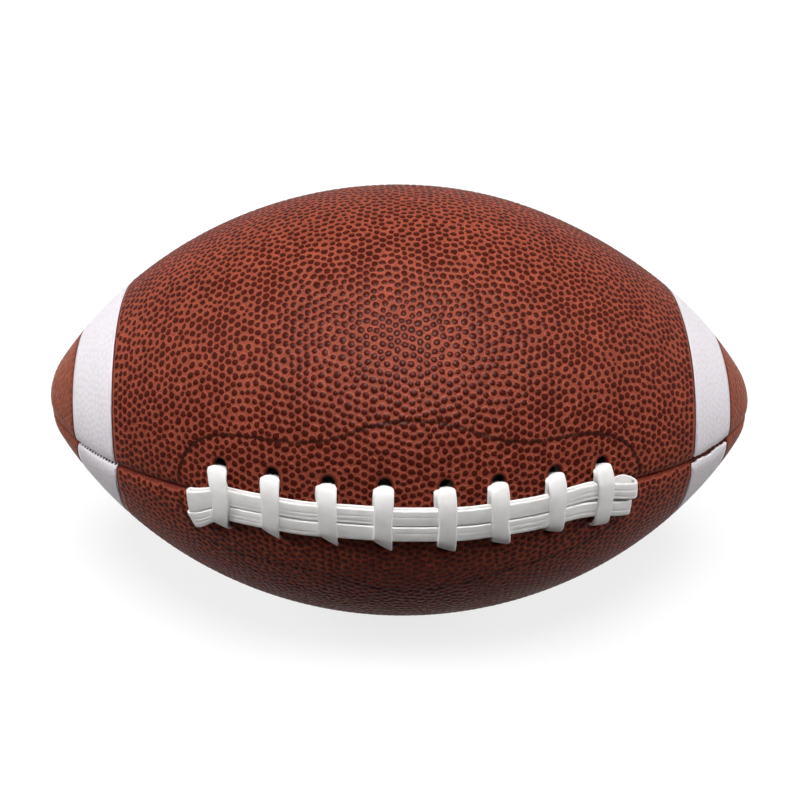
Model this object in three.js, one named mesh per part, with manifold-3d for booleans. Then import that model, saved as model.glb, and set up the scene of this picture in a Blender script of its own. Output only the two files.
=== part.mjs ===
// American football, full size. Four pebbled panels are sewn edge to edge over a rubber bladder, and the
// front seam stays open at its middle, where a flat lace closes it. +X runs from nose to nose, the lace
// faces -Y and +Z is up. The origin is the ball's centre. Sizes are in millimetres, angles in degrees.
import * as THREE from "three";
import { mergeVertices } from "three/addons/utils/BufferGeometryUtils.js";
import Module from "manifold-3d";

const wasm = await Module();
wasm.setup();
const { degToRad, lerp, radToDeg, smoothstep } = THREE.MathUtils;

// The ball's profile: one long arc from nose to nose, with a smaller arc rounding each nose
const LENGTH = 280;
const DIAMETER = 172;
const PROFILE_RADIUS = 165.5;
const TIP_OPENING = 3.4;

// Cover panels and the edges that are turned in and sewn together
const COVER_THICKNESS = 1.8;
const SEAM_GAP = 0.5;
const EDGE_ROUND = 1.4;
const EDGE_DEPTH = 3.4;
const EDGE_FADE_RADIUS = 12;
const EDGE_FILLET = 0.7;
const EDGE_ROOM = 1.2;
const NOSE_GAP_SHARE = 0.12;
const FACE_STEP = 12.5;
const MIDDLE_ROWS = 7;
const STRIPE_ROWS = 3;
const NOSE_ROWS = 4;

// Places of the seams round the ball, from the lace seam over the top. The front upper panel is the widest.
const LACE_SEAM = 0;
const TOP_SEAM = 112;
const BACK_SEAM = 195;
const BOTTOM_SEAM = 278;

// White stripe films, each let into the panel's face
const STRIPE_INNER = 107.3;
const STRIPE_OUTER = 125.5;
const STRIPE_THICKNESS = 0.5;
const STRIPE_RECESS = 0.8;
const FIT_GAP = 0.3;

// Fabric behind the cover: the lining of each panel and the facing round the lace holes
const LINING_THICKNESS = 0.8;
const FACING_THICKNESS = 0.8;
const LAYER_GAP = 0.75;
const FACING_MARGIN = 3;

// The stitch line of a facing, as its distance from the lace seam: flat, with a swell at the middle
const FACING_CENTRE = 4;
const FACING_HALF_LENGTH = 84;
const FACING_WIDTH = 27.3;
const FACING_SWELL = 9.5;
const FACING_SWELL_REACH = 17;
const FACING_CORNER_POWER = 8;
const FACING_END = 2;
const THREAD_RADIUS = 0.35;
const SEAM_THREAD_SUNK = 0.25;
const STITCH_LIFT = 0.6;
const STITCH_END = 0.14;
const STITCH_STEPS = 36;

// The lace: eight crosses through eight pairs of holes, over two lengthwise runs
const CROSS_COUNT = 8;
const CROSS_PITCH = 19.2;
const CROSS_CENTRE = 1.75;
const CROSS_LEAN = 1.5;
const HOLE_FROM_SEAM = 14.5;
const HOLE_LENGTH = 7;
const HOLE_WIDTH = 5.2;
const HOLE_SIDES = 8;
const LACE_THICKNESS = 1;
const LACE_WIDTH = 7.8;
const LACE_WIDTH_IN_HOLE = 5.2;
const LACE_INSIDE_DEPTH = 5.8;
const LACE_HOLE_DEPTH = 4.7;
const LACE_SHOULDER = 1.6;
const RUN_WIDTH = 6.6;
const RUN_FROM_SEAM = 3.5;
const RUN_ENDS = { upper: [-77.3, 84], lower: [-76, 81.5] };
const FOLD_SLACK = 0.1;
const SPLAY_START = 66;
const SPLAY_LEFT = -5.5;
const SPLAY_RIGHT = -1.6;
const SPLAY_LENGTH = 14;

// Tongue, bladder and valve
const TONGUE_DEPTH = 6.8;
const TONGUE_THICKNESS = 0.9;
const TONGUE_HALF_WIDTH = 21;
const TONGUE_HALF_LENGTH = 87;
const BLADDER_DEPTH = 3.8;
const BLADDER_DENT = 4.6;
const BLADDER_WALL = 0.8;
const BLADDER_ROWS = [-126, -101, -84, -56, -28, 0, 28, 56, 92, 108, 126];
const BLADDER_COLUMNS = 20;
const DENT_COLUMNS = [0, 15, 31, 46];
const DENT_MARGIN = 2;
const DENT_FADE = 14;
const VALVE_ANGLE = (TOP_SEAM + BACK_SEAM) / 2;
const VALVE_STEM_RADIUS = 4.2;
const VALVE_BORE_RADIUS = 2;
const VALVE_FLANGE_RADIUS = 8;
const VALVE_LENGTH = 8.5;
const VALVE_PROUD = 0.15;
const VALVE_SIDES = 16;
const VALVE_ROOM = 0.1;
const FLANGE_DROP = 1.8;
const FLANGE_THICKNESS = 1.1;
const BULB_RADIUS = 2.72;
const BULB_HEIGHT = 1.2;
const BULB_DOME = 0.8;

const HALF_GAP = SEAM_GAP / 2;
const ARC_DROP = PROFILE_RADIUS - DIAMETER / 2;
const NOSE_RADIUS =
  (PROFILE_RADIUS ** 2 - ARC_DROP ** 2 - (LENGTH / 2) ** 2) / (2 * PROFILE_RADIUS - LENGTH);
const NOSE_CENTRE = LENGTH / 2 - NOSE_RADIUS;
const NOSE_START = (PROFILE_RADIUS * NOSE_CENTRE) / Math.hypot(NOSE_CENTRE, ARC_DROP);
const TIP_X = NOSE_CENTRE + Math.sqrt(NOSE_RADIUS ** 2 - (TIP_OPENING / 2) ** 2);
const LINING_DEPTH = COVER_THICKNESS + FIT_GAP;
const FACING_DEPTH = LINING_DEPTH + LINING_THICKNESS + LAYER_GAP;
const EDGE_CLEAR = HALF_GAP + COVER_THICKNESS + EDGE_ROOM;
const RUN_LOW = FIT_GAP + LACE_THICKNESS / 2;
const RUN_LAYER = LACE_THICKNESS + FIT_GAP + FOLD_SLACK;

// A folded end of a run, as distance from the fold and height over the tail, from the tail's cut end.
const RUN_FOLD = [
  [17.5, 0], [10, 0], [2.6, 0], [0.6, 0.35], [0, 1.3], [0.8, 2.2],
  [4, RUN_LAYER + 0.5], [7, RUN_LAYER], [18, RUN_LAYER], [25, 0],
];
const RUN_FLAT_START = 40;
const RUN_FLAT_ROWS = 6;

const MATERIALS = {
  cover: new THREE.MeshStandardMaterial({ color: 0x7a3424, roughness: 0.55 }),
  stripe: new THREE.MeshStandardMaterial({ color: 0xe4e0e4, roughness: 0.5 }),
  lace: new THREE.MeshStandardMaterial({ color: 0xf0edeb, roughness: 0.35 }),
  thread: new THREE.MeshStandardMaterial({ color: 0x2a1713, roughness: 0.8 }),
  lining: new THREE.MeshStandardMaterial({ color: 0xcfc4ae, roughness: 0.9 }),
  facing: new THREE.MeshStandardMaterial({ color: 0x4a4038, roughness: 0.9 }),
  tongue: new THREE.MeshStandardMaterial({ color: 0x2b2422, roughness: 0.8 }),
  bladder: new THREE.MeshStandardMaterial({ color: 0x1d1c1c, roughness: 0.6 }),
  valve: new THREE.MeshStandardMaterial({ color: 0x151515, roughness: 0.5 }),
};

const football = new THREE.Group();
football.name = "american_football";

function addPiece(name, geometry, material) {
  const mesh = new THREE.Mesh(geometry, material);
  mesh.name = name;
  football.add(mesh);
  return mesh;
}

// Evenly spaced numbers from first to last, both included.
function spread(first, last, count) {
  return Array.from({ length: count }, (_, k) => first + ((last - first) * k) / (count - 1));
}

// Axial place and radius of the profile, at a depth square to the cover's face. x is on the face itself.
function profile(x, depth = 0) {
  const side = x < 0 ? -1 : 1;
  const along = Math.abs(x);
  if (along <= NOSE_START) {
    const tilt = Math.asin(along / PROFILE_RADIUS);
    const reach = PROFILE_RADIUS - depth;
    return [side * reach * Math.sin(tilt), reach * Math.cos(tilt) - ARC_DROP];
  }
  const tilt = Math.acos((along - NOSE_CENTRE) / NOSE_RADIUS);
  const reach = NOSE_RADIUS - depth;
  return [side * (NOSE_CENTRE + reach * Math.cos(tilt)), reach * Math.sin(tilt)];
}

// A point at an angle round the ball, from the lace seam towards the top.
function ballPoint(x, angle, depth) {
  const [along, radius] = profile(x, depth);
  const turn = degToRad(angle);
  return new THREE.Vector3(along, -radius * Math.cos(turn), radius * Math.sin(turn));
}

// A point at a distance from the lace seam, measured over the cover's face, and a height above that face.
function laid(x, fromSeam, height) {
  return ballPoint(x, radToDeg(fromSeam / profile(x)[1]), -height);
}

// A point beside the plane of a seam.
function besideSeam(x, seam, distance, depth) {
  return ballPoint(x, seam + turnFor(x, distance, depth), depth);
}

// The turn about the ball's axis that moves a point a distance off a seam's plane.
function turnFor(x, distance, depth) {
  return radToDeg(Math.asin(distance / profile(x, depth)[1]));
}

function closedBody(positions, triangles) {
  const geometry = new THREE.BufferGeometry();
  geometry.setAttribute("position", new THREE.Float32BufferAttribute(positions, 3));
  const corner = (k) => new THREE.Vector3().fromArray(positions, 3 * k);
  let volume = 0;
  for (let k = 0; k < triangles.length; k += 3) {
    const [a, b, c] = [0, 1, 2].map((n) => corner(triangles[k + n]));
    volume += a.dot(b.cross(c));
  }
  if (volume < 0) triangles.reverse();
  geometry.setIndex(triangles);
  geometry.computeVertexNormals();
  return geometry;
}

// A closed body between two grids of points, walled round their rims.
function shell(outer, inner) {
  const rows = outer.length;
  const columns = outer[0].length;
  const positions = [...outer.flat(), ...inner.flat()].flatMap((point) => point.toArray());
  const top = (i, j) => i * columns + j;
  const under = (i, j) => (rows + i) * columns + j;
  const triangles = [];
  const quad = (a, b, c, d) => triangles.push(a, b, c, a, c, d);
  const lastRow = rows - 1;
  const lastColumn = columns - 1;
  for (let i = 0; i < lastRow; i++) {
    for (let j = 0; j < lastColumn; j++) {
      quad(top(i, j), top(i + 1, j), top(i + 1, j + 1), top(i, j + 1));
      quad(under(i, j), under(i, j + 1), under(i + 1, j + 1), under(i + 1, j));
    }
    quad(top(i, 0), under(i, 0), under(i + 1, 0), top(i + 1, 0));
    quad(top(i, lastColumn), top(i + 1, lastColumn), under(i + 1, lastColumn), under(i, lastColumn));
  }
  for (let j = 0; j < lastColumn; j++) {
    quad(top(0, j), top(0, j + 1), under(0, j + 1), under(0, j));
    quad(top(lastRow, j), under(lastRow, j), under(lastRow, j + 1), top(lastRow, j + 1));
  }
  return closedBody(positions, triangles);
}

function toSolid(geometry) {
  const vertProperties = Float32Array.from(geometry.getAttribute("position").array);
  const triVerts = Uint32Array.from(geometry.index.array);
  return new wasm.Manifold(new wasm.Mesh({ numProp: 3, vertProperties, triVerts }));
}

function toGeometry(solid) {
  const { vertProperties, triVerts } = solid.getMesh();
  return closedBody(Array.from(vertProperties), Array.from(triVerts));
}

function cutAll(geometry, cutters) {
  return toGeometry(cutters.reduce((body, cutter) => body.subtract(cutter), toSolid(geometry)));
}

// An oval punch, square to the cover's face at a place on the ball.
function punch(x, angle, length, width, sides) {
  const ABOVE = 4;
  const BELOW = 8;
  const above = ballPoint(x, angle, -ABOVE);
  const below = ballPoint(x, angle, BELOW);
  const outward = above.clone().sub(below).normalize();
  const along = new THREE.Vector3(1, 0, 0).addScaledVector(outward, -outward.x).normalize();
  const around = along.clone().cross(outward);
  const geometry = new THREE.CylinderGeometry(0.5, 0.5, above.distanceTo(below), sides);
  geometry.deleteAttribute("normal");
  geometry.deleteAttribute("uv");
  const place = new THREE.Matrix4()
    .makeBasis(along.multiplyScalar(length), outward, around.multiplyScalar(width))
    .setPosition(above.add(below).multiplyScalar(0.5));
  return toSolid(mergeVertices(geometry.applyMatrix4(place)));
}

// One row of points across a panel: the columns of its near edge, its face and its far edge. An edge is a
// list of distance from the seam and depth, from the turned-in rim to the face.
function panelRow(x, [first, last], edge) {
  const near = edge.map(([distance, depth]) => besideSeam(x, first, distance, depth));
  const far = edge.map(([distance, depth]) => besideSeam(x, last, -distance, depth));
  const [distance, depth] = edge.at(-1);
  const inset = turnFor(x, distance, depth);
  const columns = Math.round((last - first) / FACE_STEP) + 1;
  const angles = spread(first + inset, last - inset, columns).slice(1, -1);
  const face = angles.map((angle) => ballPoint(x, angle, depth));
  return [...near, ...face, ...far.reverse()];
}

// Rows along the ball: the brown middle, the sunk bands under the stripes, and the noses.
function panelStations() {
  const STEP = 0.06;
  const noseTilts = spread(Math.acos((STRIPE_OUTER - NOSE_CENTRE) / NOSE_RADIUS),
    Math.acos((TIP_X - NOSE_CENTRE) / NOSE_RADIUS), NOSE_ROWS);
  const half = [
    ...spread(0, STRIPE_INNER, MIDDLE_ROWS).map((x) => ({ x, sunk: 0 })),
    ...spread(STRIPE_INNER + STEP, STRIPE_OUTER - STEP, STRIPE_ROWS).map((x) => ({ x, sunk: STRIPE_RECESS })),
    ...noseTilts.map((tilt) => ({ x: NOSE_CENTRE + NOSE_RADIUS * Math.cos(tilt), sunk: 0 })),
  ];
  const left = half.slice(1).reverse().map(({ x, sunk }) => ({ x: -x, sunk }));
  return [...left, ...half];
}

const STATIONS = panelStations();
const STRIPE_MIDDLE = (STRIPE_INNER + STRIPE_OUTER) / 2;
const LINING_PLACES = [
  -STRIPE_OUTER, -STRIPE_MIDDLE,
  ...spread(-STRIPE_INNER, STRIPE_INNER, 2 * MIDDLE_ROWS - 1),
  STRIPE_MIDDLE, STRIPE_OUTER,
];

// Edges draw closer to their seam as the panel narrows to the nose.
function panelEdges(x, sunk) {
  const radius = profile(x)[1];
  const scale = Math.min(1, radius / EDGE_FADE_RADIUS);
  const gap = Math.min(HALF_GAP, NOSE_GAP_SHARE * radius);
  const round = EDGE_ROUND * scale;
  const rim = COVER_THICKNESS + (EDGE_DEPTH - COVER_THICKNESS) * scale;
  const inside = gap + COVER_THICKNESS * scale;
  const fillet = EDGE_FILLET * scale;
  return {
    outer: [
      [gap, rim],
      [gap, round + sunk],
      [gap + round, sunk],
    ],
    inner: [
      [inside, rim],
      [inside, COVER_THICKNESS + fillet],
      [inside + fillet, COVER_THICKNESS],
    ],
  };
}

function coverPanel(seams) {
  const outer = [];
  const inner = [];
  for (const { x, sunk } of STATIONS) {
    const edges = panelEdges(x, sunk);
    outer.push(panelRow(x, seams, edges.outer));
    inner.push(panelRow(x, seams, edges.inner));
  }
  return shell(outer, inner);
}

// A sheet between two seams, at an even depth, over a list of places along the ball.
function sheetBetweenSeams(seams, places, clear, depth, thickness) {
  const rowsAt = (level) => places.map((x) => panelRow(x, seams, [[clear, level]]));
  return shell(rowsAt(depth), rowsAt(depth + thickness));
}

// Distance of a facing's stitch line from the lace seam.
function facingOutline(x) {
  const reach = Math.abs(x - FACING_CENTRE) / FACING_HALF_LENGTH;
  const swell = FACING_SWELL * Math.exp(-(((x - FACING_CENTRE) / FACING_SWELL_REACH) ** 2));
  return (FACING_WIDTH + swell) * Math.sqrt(1 - reach ** FACING_CORNER_POWER);
}

function laceFacing(side) {
  const reach = FACING_HALF_LENGTH - FACING_END;
  const places = spread(FACING_CENTRE - reach, FACING_CENTRE + reach, 17);
  const rowsAt = (depth) =>
    places.map((x) =>
      spread(EDGE_CLEAR, facingOutline(x) + FACING_MARGIN, 4).map((s) => laid(x, side * s, -depth)));
  return shell(rowsAt(FACING_DEPTH), rowsAt(FACING_DEPTH + FACING_THICKNESS));
}

// A thread of four sides along a list of places.
function threadAlong(rowAt, places) {
  const half = THREAD_RADIUS * Math.SQRT1_2;
  const rows = (lift) => places.map((place) => [-half, half].map((across) => rowAt(place, across, lift)));
  return shell(rows(half), rows(-half));
}

function seamThread(seam, places) {
  return threadAlong((x, across, lift) => besideSeam(x, seam, across, SEAM_THREAD_SUNK - lift), places);
}

function facingStitch(side) {
  const NUDGE = 0.01;
  const place = (turn) => FACING_CENTRE - FACING_HALF_LENGTH * Math.cos(turn);
  const rowAt = (turn, across, lift) => {
    const x = place(turn);
    const [before, after] = [place(turn - NUDGE), place(turn + NUDGE)];
    const slope = (facingOutline(after) - facingOutline(before)) / (after - before);
    const stretch = Math.hypot(1, slope);
    const s = facingOutline(x) + across / stretch;
    return laid(x - (across * slope) / stretch, side * s, STITCH_LIFT + lift);
  };
  return threadAlong(rowAt, spread(STITCH_END, Math.PI - STITCH_END, STITCH_STEPS + 1));
}

// A flat strip along a list of places: x, distance from the seam, height, turn of its width about the
// ball's normal, and width.
function strap(places) {
  const NUDGE = 0.5;
  const points = places.map((p) => laid(p.x, p.fromSeam, p.height));
  const outer = [];
  const inner = [];
  places.forEach((p, k) => {
    const ahead = points[Math.min(k + 1, points.length - 1)];
    const forward = ahead.clone().sub(points[Math.max(k - 1, 0)]).normalize();
    const along = laid(p.x + NUDGE, p.fromSeam, p.height).sub(laid(p.x - NUDGE, p.fromSeam, p.height));
    const around = laid(p.x, p.fromSeam + NUDGE, p.height).sub(laid(p.x, p.fromSeam - NUDGE, p.height));
    const across = along.normalize().multiplyScalar(Math.cos(degToRad(p.turn)))
      .addScaledVector(around.normalize(), Math.sin(degToRad(p.turn)));
    const face = forward.clone().cross(across).setLength(LACE_THICKNESS / 2);
    across.multiplyScalar(p.width / 2);
    const left = points[k].clone().sub(across);
    const right = points[k].clone().add(across);
    outer.push([left.clone().add(face), right.clone().add(face)]);
    inner.push([left.sub(face), right.sub(face)]);
  });
  return shell(outer, inner);
}

// Extra places between those given, on a smooth curve.
function smooth(places, steps) {
  const curve = new THREE.CatmullRomCurve3(
    places.map((p) => new THREE.Vector3(p.x, p.fromSeam, p.height)), false, "centripetal");
  const last = places.length - 1;
  return Array.from({ length: last * steps + 1 }, (_, k) => {
    const at = Math.min(Math.floor(k / steps), last - 1);
    const part = k / steps - at;
    const { x, y, z } = curve.getPoint(k / (last * steps));
    const between = (key) => lerp(places[at][key], places[at + 1][key], part);
    return { x, fromSeam: y, height: z, turn: between("turn"), width: between("width") };
  });
}

function crossX(k) {
  return CROSS_CENTRE + (k - (CROSS_COUNT - 1) / 2) * CROSS_PITCH;
}

// Height of the lace's middle where it passes over the runs: the outermost crosses pass over folded ends.
function crossHeight(k) {
  const layers = k === 0 || k === CROSS_COUNT - 1 ? 2 : 1;
  return layers * (LACE_THICKNESS + FIT_GAP) + (layers - 1) * FOLD_SLACK + RUN_LOW;
}

// The crossing lace: up through each upper hole, over the runs, down through the lower hole and on a slant
// behind the cover to the next upper hole.
function crossingLace() {
  const DIAGONAL_TURN = -radToDeg(Math.atan2(CROSS_PITCH - CROSS_LEAN, 2 * HOLE_FROM_SEAM));
  const RUN_EDGE = RUN_FROM_SEAM + RUN_WIDTH / 2 + 0.8;
  // One cross from its hole to the seam: part of the lean, distance from the seam, height, turn and width
  const legAt = (top) => [
    [-0.8, HOLE_FROM_SEAM - 2, -LACE_INSIDE_DEPTH, DIAGONAL_TURN / 2, LACE_WIDTH_IN_HOLE],
    [0, HOLE_FROM_SEAM, -LACE_HOLE_DEPTH, 0, LACE_WIDTH_IN_HOLE],
    [0, HOLE_FROM_SEAM + 0.2, 0, 0, LACE_WIDTH_IN_HOLE],
    [0, HOLE_FROM_SEAM - LACE_SHOULDER, 0.8 * top, 0, 0.9 * LACE_WIDTH],
    [0.3, RUN_EDGE, top, 0, LACE_WIDTH],
  ];
  const places = [];
  const add = (x, [fromSeam, height, turn, width]) => places.push({ x, fromSeam, height, turn, width });
  for (let k = 0; k < CROSS_COUNT; k++) {
    const x = crossX(k);
    const leg = legAt(crossHeight(k));
    for (const [lean, ...rest] of leg) add(x + lean * CROSS_LEAN, rest);
    for (const [lean, fromSeam, ...rest] of leg.reverse()) {
      add(x + (1 - lean) * CROSS_LEAN, [-fromSeam, ...rest]);
    }
    if (k < CROSS_COUNT - 1) {
      const halfway = (x + CROSS_LEAN + crossX(k + 1)) / 2;
      add(halfway, [0, -LACE_INSIDE_DEPTH, DIAGONAL_TURN, LACE_WIDTH]);
    }
  }
  return strap(smooth(places, 2));
}

// A lengthwise run: a strip along the seam whose ends fold back under it and splay away from the line.
function laceRun(side) {
  const [left, right] = RUN_ENDS[side];
  const line = side === "upper" ? RUN_FROM_SEAM : -RUN_FROM_SEAM;
  const splay = (x) =>
    (x < 0 ? SPLAY_LEFT : SPLAY_RIGHT) * smoothstep(Math.abs(x), SPLAY_START, SPLAY_START + SPLAY_LENGTH);
  const route = [
    ...RUN_FOLD.map(([from, height]) => [left + from, height]),
    ...spread(left + RUN_FLAT_START, right - RUN_FLAT_START, RUN_FLAT_ROWS).map((x) => [x, 0]),
    ...RUN_FOLD.map(([from, height]) => [right - from, height]).reverse(),
  ];
  const places = route.map(([x, height]) => (
    { x, fromSeam: line + splay(x), height: RUN_LOW + height, turn: 90, width: RUN_WIDTH }));
  return strap(smooth(places, 2));
}

function tongueStrip() {
  const places = spread(FACING_CENTRE - TONGUE_HALF_LENGTH, FACING_CENTRE + TONGUE_HALF_LENGTH, 11);
  const rowsAt = (depth) =>
    places.map((x) => spread(-TONGUE_HALF_WIDTH, TONGUE_HALF_WIDTH, 5).map((s) => laid(x, s, -depth)));
  return shell(rowsAt(TONGUE_DEPTH), rowsAt(TONGUE_DEPTH + TONGUE_THICKNESS));
}

// A closed skin inside the ball, pressed in behind the tongue.
function bladderSkin(depth) {
  const ends = [-TIP_X, TIP_X].map((x) => new THREE.Vector3(profile(x, depth)[0], 0, 0));
  const rows = BLADDER_ROWS.map((x) => {
    const radius = Math.max(profile(x)[1], DIAMETER / 4);
    const beside = DENT_COLUMNS.map((s) => radToDeg(s / radius));
    const rest = spread(beside.at(-1), 360 - beside.at(-1), BLADDER_COLUMNS).slice(1, -1);
    const angles = [...beside, ...rest, ...beside.slice(1).reverse().map((angle) => 360 - angle)];
    const away = Math.abs(x - FACING_CENTRE) - TONGUE_HALF_LENGTH - DENT_MARGIN;
    const dent = BLADDER_DENT * (1 - smoothstep(away, 0, DENT_FADE));
    const isPressed = (k) => Math.min(k, angles.length - k) < DENT_COLUMNS.length - 1;
    return angles.map((angle, k) => ballPoint(x, angle, depth + (isPressed(k) ? dent : 0)));
  });
  const columns = rows[0].length;
  const positions = [...rows.flat(), ...ends].flatMap((point) => point.toArray());
  const triangles = [];
  const first = rows.length * columns;
  for (let j = 0; j < columns; j++) {
    const next = (j + 1) % columns;
    for (let i = 0; i + 1 < rows.length; i++) {
      const [a, b] = [i * columns, (i + 1) * columns];
      triangles.push(a + j, b + j, b + next, a + j, b + next, a + next);
    }
    const lastRow = (rows.length - 1) * columns;
    triangles.push(first, j, next);
    triangles.push(first + 1, lastRow + next, lastRow + j);
  }
  return closedBody(positions, triangles);
}

// Oval punches for the lace holes beside one edge of the slit.
function laceHoles(side) {
  return Array.from({ length: CROSS_COUNT }, (_, k) => {
    const x = crossX(k) + (side < 0 ? CROSS_LEAN : 0);
    const angle = radToDeg((side * HOLE_FROM_SEAM) / profile(x)[1]);
    return punch(x, angle, HOLE_LENGTH, HOLE_WIDTH, HOLE_SIDES);
  });
}

const UPPER_HOLES = laceHoles(1);
const LOWER_HOLES = laceHoles(-1);
const VALVE_HOLE_DIAMETER = 2 * (VALVE_STEM_RADIUS + FIT_GAP + VALVE_ROOM);
const VALVE_HOLE = punch(0, VALVE_ANGLE, VALVE_HOLE_DIAMETER, VALVE_HOLE_DIAMETER, VALVE_SIDES);

// Panels with their linings and stripes, in the order round the ball
const PANELS = [
  { side: "front_upper", seams: [LACE_SEAM, TOP_SEAM], holes: UPPER_HOLES },
  { side: "back_upper", seams: [TOP_SEAM, BACK_SEAM], holes: [VALVE_HOLE] },
  { side: "back_lower", seams: [BACK_SEAM, BOTTOM_SEAM], holes: [] },
  { side: "front_lower", seams: [BOTTOM_SEAM, LACE_SEAM + 360], holes: LOWER_HOLES },
];

for (const { side, seams, holes } of PANELS) {
  addPiece(`panel_${side}`, cutAll(coverPanel(seams), holes), MATERIALS.cover);
  const lining = sheetBetweenSeams(seams, LINING_PLACES, EDGE_CLEAR, LINING_DEPTH, LINING_THICKNESS);
  addPiece(`lining_${side}`, cutAll(lining, holes), MATERIALS.lining);
  const stripePlaces = spread(STRIPE_INNER + FIT_GAP, STRIPE_OUTER - FIT_GAP, 3);
  for (const [end, sign] of [["left", -1], ["right", 1]]) {
    const places = stripePlaces.map((x) => sign * x);
    const film = sheetBetweenSeams(seams, places, HALF_GAP + EDGE_ROUND, 0, STRIPE_THICKNESS);
    addPiece(`stripe_${end}_${side}`, film, MATERIALS.stripe);
  }
}

// Threads of the four seams: the lace seam is sewn only beyond the slit
const SEWN_PLACES = STATIONS.map((station) => station.x).slice(1, -1);
const SLIT_HALF_LENGTH = FACING_HALF_LENGTH + 1;
const SLIT_ENDS = [FACING_CENTRE - SLIT_HALF_LENGTH, FACING_CENTRE + SLIT_HALF_LENGTH];
addPiece("seam_thread_top", seamThread(TOP_SEAM, SEWN_PLACES), MATERIALS.thread);
addPiece("seam_thread_back", seamThread(BACK_SEAM, SEWN_PLACES), MATERIALS.thread);
addPiece("seam_thread_bottom", seamThread(BOTTOM_SEAM, SEWN_PLACES), MATERIALS.thread);
const leftPlaces = [...SEWN_PLACES.filter((x) => x < SLIT_ENDS[0]), SLIT_ENDS[0]];
const rightPlaces = [SLIT_ENDS[1], ...SEWN_PLACES.filter((x) => x > SLIT_ENDS[1])];
addPiece("seam_thread_lace_left", seamThread(LACE_SEAM, leftPlaces), MATERIALS.thread);
addPiece("seam_thread_lace_right", seamThread(LACE_SEAM, rightPlaces), MATERIALS.thread);

// Lace facings with their stitches, the lace and the tongue behind it
addPiece("lace_facing_upper", cutAll(laceFacing(1), UPPER_HOLES), MATERIALS.facing);
addPiece("lace_facing_lower", cutAll(laceFacing(-1), LOWER_HOLES), MATERIALS.facing);
addPiece("facing_stitch_upper", facingStitch(1), MATERIALS.thread);
addPiece("facing_stitch_lower", facingStitch(-1), MATERIALS.thread);
addPiece("lace_run_upper", laceRun("upper"), MATERIALS.lace);
addPiece("lace_run_lower", laceRun("lower"), MATERIALS.lace);
addPiece("lace_crosses", crossingLace(), MATERIALS.lace);
addPiece("tongue", tongueStrip(), MATERIALS.tongue);

// Bladder, open only where the valve passes through its wall
const bladderWall = toSolid(bladderSkin(BLADDER_DEPTH)).subtract(
  toSolid(bladderSkin(BLADDER_DEPTH + BLADDER_WALL)));
addPiece("bladder", toGeometry(bladderWall.subtract(VALVE_HOLE)), MATERIALS.bladder);

// Valve: a flanged rubber stem, and the slit plug held in its bore by a bulb
const FLANGE_TOP = -(BLADDER_DEPTH + BLADDER_WALL + FLANGE_DROP);
const housingProfile = [
  [VALVE_BORE_RADIUS, VALVE_PROUD],
  [VALVE_BORE_RADIUS, -VALVE_LENGTH],
  [VALVE_STEM_RADIUS, -VALVE_LENGTH],
  [VALVE_FLANGE_RADIUS, FLANGE_TOP - FLANGE_THICKNESS],
  [VALVE_FLANGE_RADIUS, FLANGE_TOP],
  [VALVE_STEM_RADIUS, FLANGE_TOP],
  [VALVE_STEM_RADIUS, VALVE_PROUD],
  [VALVE_BORE_RADIUS, VALVE_PROUD],
];
const PLUG_RADIUS = VALVE_BORE_RADIUS - FIT_GAP;
const BULB_TOP = -VALVE_LENGTH - FIT_GAP;
const plugProfile = [
  [0, BULB_TOP - BULB_HEIGHT - BULB_DOME],
  [BULB_RADIUS, BULB_TOP - BULB_HEIGHT],
  [BULB_RADIUS, BULB_TOP - VALVE_ROOM],
  [PLUG_RADIUS, BULB_TOP],
  [PLUG_RADIUS, VALVE_PROUD],
  [0, VALVE_PROUD],
];
const VALVE_PLACE = ballPoint(0, VALVE_ANGLE, 0);
const VALVE_TURN = new THREE.Quaternion().setFromUnitVectors(
  new THREE.Vector3(0, 1, 0), VALVE_PLACE.clone().normalize());
const turned = (outline) =>
  new THREE.LatheGeometry(outline.map(([radius, height]) => new THREE.Vector2(radius, height)), VALVE_SIDES);
for (const [name, outline] of [["valve_housing", housingProfile], ["valve_plug", plugProfile]]) {
  const mesh = addPiece(name, turned(outline), MATERIALS.valve);
  mesh.position.copy(VALVE_PLACE);
  mesh.quaternion.copy(VALVE_TURN);
}

export default football;
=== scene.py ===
import math

import bmesh
import bpy
import numpy as np
from mathutils import Matrix, Vector
from mathutils.geometry import delaunay_2d_cdt
from mathutils.kdtree import KDTree


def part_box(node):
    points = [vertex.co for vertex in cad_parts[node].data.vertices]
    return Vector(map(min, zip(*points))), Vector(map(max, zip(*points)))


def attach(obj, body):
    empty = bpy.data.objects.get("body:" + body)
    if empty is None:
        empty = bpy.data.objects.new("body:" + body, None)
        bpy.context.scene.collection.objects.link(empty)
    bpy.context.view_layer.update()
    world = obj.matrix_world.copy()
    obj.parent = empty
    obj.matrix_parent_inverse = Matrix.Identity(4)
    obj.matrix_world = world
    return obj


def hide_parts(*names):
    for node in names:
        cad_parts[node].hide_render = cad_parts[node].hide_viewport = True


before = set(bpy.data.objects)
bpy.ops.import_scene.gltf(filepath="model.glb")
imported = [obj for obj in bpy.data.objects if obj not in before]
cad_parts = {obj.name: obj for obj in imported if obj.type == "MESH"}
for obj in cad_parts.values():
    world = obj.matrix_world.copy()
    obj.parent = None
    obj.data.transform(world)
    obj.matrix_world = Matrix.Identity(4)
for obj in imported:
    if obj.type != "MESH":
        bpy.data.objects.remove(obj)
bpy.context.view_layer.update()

# Cover panels
# Four lens-shaped panels of embossed composite leather, cut flat, sewn edge to edge inside out and then
# turned. Each is a closed sheet here: the embossed face, the edges that turn into the seams, and the back.
MM = 0.001
LENGTH = 280.0
DIAMETER = 172.0
PROFILE_RADIUS = 165.5
TIP_RADIUS = 0.6
STRIPE_INNER, STRIPE_OUTER = 107.3, 125.5
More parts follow.
